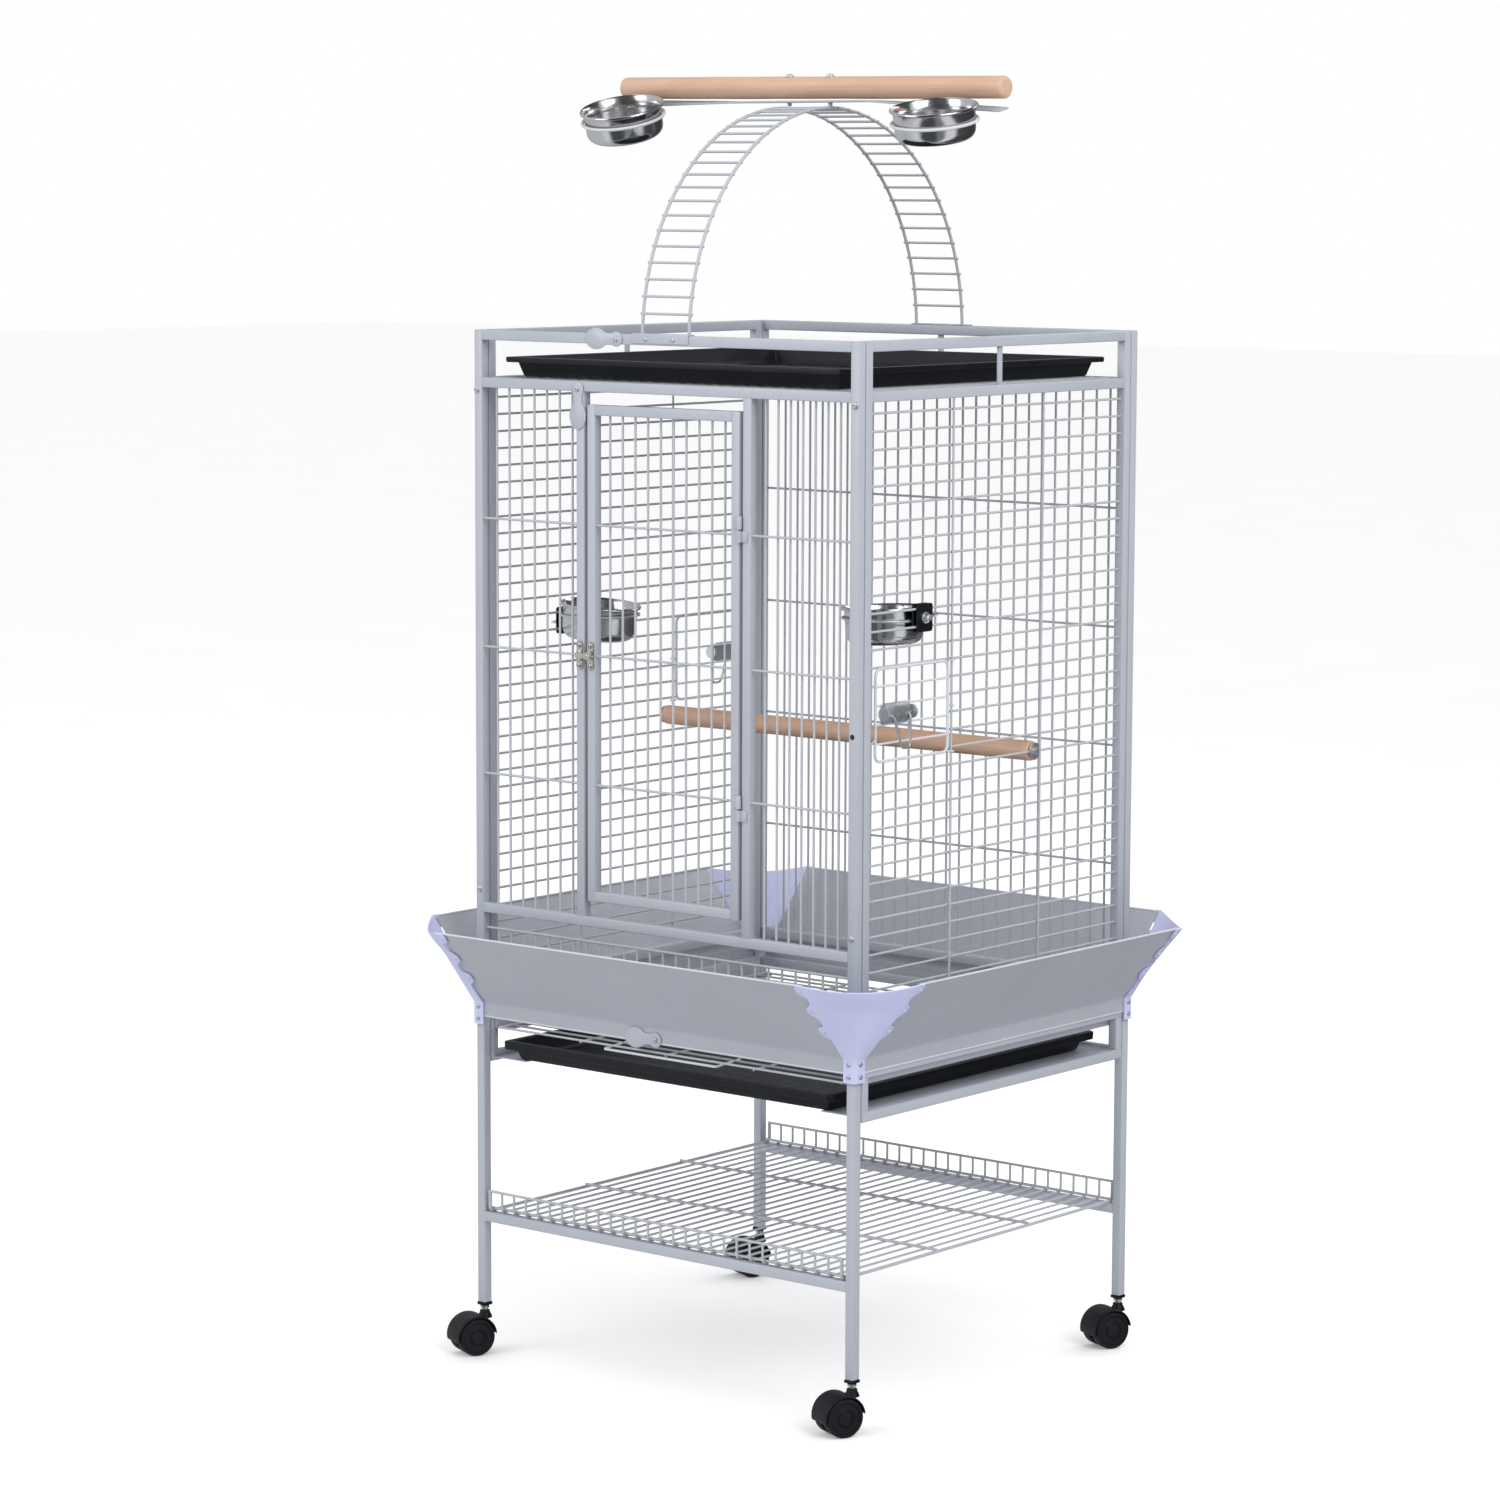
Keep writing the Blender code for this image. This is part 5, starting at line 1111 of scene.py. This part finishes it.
for tag, s, cy, z, tilt in (("left", -1, -0.119, 0.954, 5.0), ("right", 1, -0.150, 0.982, -2.0)):
    cx = s * 0.241
    m = bowl_place(cx, cy, z, 0.0, tilt, 0.0143)
    bowl("vis_feed_bowl_" + tag, "feed_bowl_" + tag, "feed_bowl_" + tag, m, 0.052, 0.045)
    flat = Matrix.Translation((cx, cy, z))
    w = Build()
    w.tube(ring_pts(flat, 0.0502, -0.0143), 0.0016, 10, True)
    zc = z - 0.0143
    kk = round((ROW_TOP - zc) / ROW_P - 0.5)
    zs = ROW_TOP - (kk + 0.5) * ROW_P
    xa = XS - R
    for dy in (-0.008, 0.008):
        w.tube([(cx + s * 0.0490, cy + dy, zc), (s * (xa - 0.0012), cy + dy, zc)], 0.0016, 8)
    w.done("vis_feed_ring_" + tag, "cage", ZINC, "zinc", ("feed_bowl_holder_" + tag,))
    w = Build()
    for x0, x1 in ((xa - 0.0030, xa - 0.0006), (xa + 0.0036, xa + 0.0058)):
        outl = [(cy - 0.015, zs - 0.017), (cy + 0.015, zs - 0.017), (cy + 0.015, zs + 0.017), (cy - 0.015, zs + 0.017)]
        outl = [(p.x, p.y) for p in rounded([Vector((a, c, 0)) for a, c in outl], 0.004, True, 4)]
        w.plate(outl, x0, x1, lambda u, v, ww: (s * ww, u, v), 0.0004)
    w.done("vis_feed_clamp_" + tag, "cage", BLACK, "black")
    w = Build()
    mm = Matrix.Translation((s * (xa + 0.0058), cy, zs)) @ Matrix.Rotation(s * math.pi / 2, 4, 'Y')
    w.lathe([(0, 0), (0.0072, 0), (0.0072, 0.0010), (0.0052, 0.0012), (0.0042, 0.0062), (0.0030, 0.0070), (0.0028, 0.0090),
             (0, 0.0094)], 24, mm)
    for q in (-1, 1):
        outl = [(0.0030, 0.0006), (0.0105, 0.0036), (0.0135, 0.0096), (0.0100, 0.0128), (0.0052, 0.0092), (0.0030, 0.0058)]
        outl = [(p.x, p.y) for p in rounded([Vector((a, c, 0)) for a, c in outl], 0.0024, True, 4)]
        w.plate(outl, -0.0009, 0.0009, lambda u, v, ww: (s * (xa + 0.0062 + v), cy + q * u * 0.94 + ww * 0.3,
                                                         zs + q * u * 0.34 + ww), 0.0003)
    w.done("vis_wing_nut_" + tag, "cage", ZINC, "zinc")

# ------------------------------------------------------------------ casters
TU = math.radians(-23.0)
AXD = Vector((math.cos(TU), math.sin(TU), 0))
TRL = Vector((math.sin(TU), -math.cos(TU), 0))
for tag, sx, sy in (("fl", -1, -1), ("fr", 1, -1), ("br", 1, 1), ("bl", -1, 1)):
    px, py = sx * (HX - T / 2), sy * (HY - T / 2)
    c = Vector((px, py, 0)) + TRL * 0.018
    h = T / 2 + 0.0006
    b = Build()
    b.bar(px - h, px + h, py - h, py + h, 0.062, 0.0659, 0.0009)
    b.lathe([(0, 0.0612), (0.0058, 0.0612), (0.0062, 0.0616), (0.0062, 0.0625), (0, 0.0625)], 20, Matrix.Translation((px, py, 0)))
    b.done("vis_plug_" + tag, "cage", BLACK, "black", ("caster_plug_" + tag,))
    b = Build()
    b.lathe([(0, 0.0553), (0.0038, 0.0553), (0.0040, 0.0558), (0.0040, 0.0576), (0.0056, 0.0580), (0.0056, 0.0600),
             (0.0050, 0.0604), (0.0044, 0.0606), (0.0044, 0.0614), (0, 0.0614)], 24, Matrix.Translation((px, py, 0)))
    b.done("vis_stem_" + tag, "cage", ZINC, "zinc")
    # hood: rounded fender shell over the wheels, middle web, neck and boss
    b = Build()
    sec = [(-0.0193, 0.0256), (-0.0195, 0.0262), (-0.0190, 0.0269), (-0.0178, 0.0274), (-0.0160, 0.0276), (0.0160, 0.0276),
           (0.0178, 0.0274), (0.0190, 0.0269), (0.0195, 0.0262), (0.0193, 0.0256), (0.0180, 0.0254), (-0.0180, 0.0254)]
    rings = []
    a0, a1, n = math.radians(8), math.radians(192), 32
    for i in range(n + 1):
        a = a0 + (a1 - a0) * i / n
        shrink = 0.0
        if i in (0, n):
            shrink = 0.0004
        ring = []
        for w_, r_ in sec:
            rr = r_ - (shrink if r_ > 0.0265 else -shrink)
            p = c + TRL * (-rr * math.cos(a)) + AXD * w_
            ring.append((p.x, p.y, 0.024 + rr * math.sin(a)))
        rings.append(ring)
    b.rings(rings)
    rings = []
    for i in range(n + 1):
        a = a0 + (a1 - a0) * i / n
        ring = []
        for w_, r_ in ((-0.0028, 0.0052), (-0.0028, 0.0262), (0.0028, 0.0262), (0.0028, 0.0052)):
            p = c + TRL * (-r_ * math.cos(a)) + AXD * w_
            ring.append((p.x, p.y, 0.024 + r_ * math.sin(a)))
        rings.append(ring)
    b.rings(rings)
    # boss flares from the hood up to the stem
    prof = [(0, 0.0455), (0.0092, 0.0455), (0.0090, 0.0475), (0.0078, 0.0500), (0.0066, 0.0520), (0.0064, 0.0546),
            (0.0060, 0.0550), (0, 0.0550)]
    b.lathe(prof, 28, Matrix.Translation((px, py, 0)))
    b.done("vis_hood_" + tag, "caster_" + tag, BLACK, "black", ("caster_hood_" + tag,), angle=50)
    # wheels
    rot = Matrix.Rotation(TU, 4, 'Z') @ Matrix.Rotation(math.pi / 2, 4, 'Y')
    mtx = Matrix.Translation((c.x, c.y, 0.024)) @ rot
    b = Build()
    for q in (-1, 1):
        p = [(0.0215, 0.0038), (0.0234, 0.0040), (0.0240, 0.0052), (0.0240, 0.0168), (0.0236, 0.0180), (0.0226, 0.0188),
             (0.0215, 0.0190)]
        b.lathe([(r_, q * h_) for r_, h_ in p] + [(0.0205, q * 0.0180), (0.0205, q * 0.0045)], 56, mtx, closed=True)
    b.done("vis_tread_" + tag, "wheels_" + tag, TREAD, "black", ("caster_wheels_" + tag,), angle=50)
    b = Build()
    for q in (-1, 1):
        p = [(0, 0.0040), (0.0212, 0.0040), (0.0212, 0.0186), (0.0196, 0.0187), (0.0186, 0.0172), (0.0110, 0.0166),
             (0.0095, 0.0176), (0.0088, 0.0188), (0.0060, 0.0191), (0, 0.0191)]
        b.lathe([(r_, q * h_) for r_, h_ in p], 48, mtx)
    b.lathe([(0, -0.0045), (0.0038, -0.0045), (0.0038, 0.0045), (0, 0.0045)], 20, mtx)
    b.done("vis_hub_" + tag, "wheels_" + tag, BLACK, "black", angle=40)

# ------------------------------------------------------------------ stage, light, camera
fm, fnt, fb = new_mat("floor_pale")
fv = coords(fnt)
fnt.links.new(ramp(fnt, noise(fnt, fv, 3.0, 4.0), [(0.3, (0.93, 0.93, 0.93)), (0.7, (0.955, 0.955, 0.955))]),
              fb.inputs["Base Color"])
fb.inputs["Roughness"].default_value = 0.75
fb.inputs["Emission Color"].default_value = (1.0, 1.0, 1.0, 1.0)
fb.inputs["Emission Strength"].default_value = 0.14
me = bpy.data.meshes.new("floor")
S = 30.0
me.from_pydata([(-S, -S, 0), (S, -S, 0), (S, S, 0), (-S, S, 0)], [], [(0, 1, 2, 3)])
me.materials.append(fm)
floor = bpy.data.objects.new("floor", me)
bpy.context.scene.collection.objects.link(floor)
floor.visible_glossy = False
floor.visible_diffuse = False

# what a mirror sees around the horizon: (azimuth in degrees, brightness)
FLAGS = [(-180, 0.70), (-132, 0.74), (-112, 1.0), (-103, 0.80), (-95, 0.09), (-52, 0.08), (-42, 0.26), (-25, 0.28),
         (-16, 1.0), (8, 1.0), (19, 0.09), (95, 0.05), (112, 0.28), (140, 0.55), (180, 0.70)]
world = bpy.data.worlds.new("studio")
bpy.context.scene.world = world
world.use_nodes = True
wt = world.node_tree
bg = wt.nodes.get("Background")
# a white room for plain light; mirrors see dark flags between the bright walls
tcw = wt.nodes.new("ShaderNodeTexCoord")
sep = wt.nodes.new("ShaderNodeSeparateXYZ")
wt.links.new(tcw.outputs["Generated"], sep.inputs[0])
ang = wt.nodes.new("ShaderNodeMath")
ang.operation = 'ARCTAN2'
wt.links.new(sep.outputs["Y"], ang.inputs[0])
wt.links.new(sep.outputs["X"], ang.inputs[1])
turn = mapr(wt, ang.outputs[0], 0.0, 1.0, -math.pi, math.pi)
walls = ramp(wt, turn, [((a + 180) / 360, (v * 0.96, v * 0.98, v)) for a, v in FLAGS])
lp = wt.nodes.new("ShaderNodeLightPath")
up_down = ramp(wt, mapr(wt, sep.outputs["Z"], 0.0, 1.0, -0.45, 0.35), [(0.0, (0.90, 0.91, 0.94)), (1.0, (1.0, 1.0, 1.0))])
gl = mix(wt, lp.outputs["Is Glossy Ray"], up_down, walls)
wt.links.new(gl, bg.inputs[0])
bg.inputs[1].default_value = 0.92
bg2 = wt.nodes.new("ShaderNodeBackground")
bg2.inputs[0].default_value = (1, 1, 1, 1)
bg2.inputs[1].default_value = 1.0
ms = wt.nodes.new("ShaderNodeMixShader")
wt.links.new(lp.outputs["Is Camera Ray"], ms.inputs[0])
wt.links.new(bg.outputs[0], ms.inputs[1])
wt.links.new(bg2.outputs[0], ms.inputs[2])
wt.links.new(ms.outputs[0], wt.nodes["World Output"].inputs[0])


def area(name, loc, target, size, power, col=(1, 1, 1)):
    li = bpy.data.lights.new(name, 'AREA')
    li.shape = 'RECTANGLE'
    li.size, li.size_y = size
    li.energy = power
    li.color = col
    ob = bpy.data.objects.new(name, li)
    ob.location = loc
    ob.rotation_mode = 'QUATERNION'
    ob.rotation_quaternion = (Vector(target) - Vector(loc)).to_track_quat('-Z', 'Y')
    bpy.context.scene.collection.objects.link(ob)


area("key", (3.6, -1.2, 3.4), (0, 0, 1.0), (2.4, 2.4), 80)
area("fill", (-1.8, -4.2, 3.0), (0, 0, 1.2), (2.6, 2.2), 60)
area("rim", (0.5, 4.0, 3.2), (0, 0, 1.0), (3.0, 1.6), 35)

cam = bpy.data.cameras.new("camera")
cam.sensor_fit = 'HORIZONTAL'
cam.sensor_width = 36.0
cam.lens = 110.26
cam.dof.use_dof = False
cam.clip_start, cam.clip_end = 0.1, 100.0
co = bpy.data.objects.new("camera", cam)
bpy.context.scene.collection.objects.link(co)
az, pt, ro = math.radians(39.48499), math.radians(7.09598), math.radians(0.19567)
fwd = Vector((-math.sin(az) * math.cos(pt), math.cos(az) * math.cos(pt), -math.sin(pt)))
right0 = Vector((math.cos(az), math.sin(az), 0))
up0 = right0.cross(fwd)
right = right0 * math.cos(ro) + up0 * math.sin(ro)
up = up0 * math.cos(ro) - right0 * math.sin(ro)
mw = Matrix((right, up, -fwd)).transposed().to_4x4()
mw.translation = Vector((3.6109161, -4.4927620, 1.4913838))
co.matrix_world = mw
bpy.context.scene.camera = co
bpy.context.scene.view_settings.view_transform = 'Standard'
bpy.context.scene.view_settings.look = 'None'

# carried-over CAD nodes get the same finishes
looks = {"paint": PAINT, "guard": GUARD, "tray": TRAY, "black": BLACK, "wood": WOOD, "stainless": STEEL,
         "zinc": ZINC, "nickel": NICKEL}
slots = {p["node"]: p["material_slot"] for p in frame["record"]["subparts"]}
for n, ob in frame["nodes"].items():
    if not ob.hide_render:
        for i in range(len(ob.material_slots)):
            ob.material_slots[i].material = looks[slots[n]]
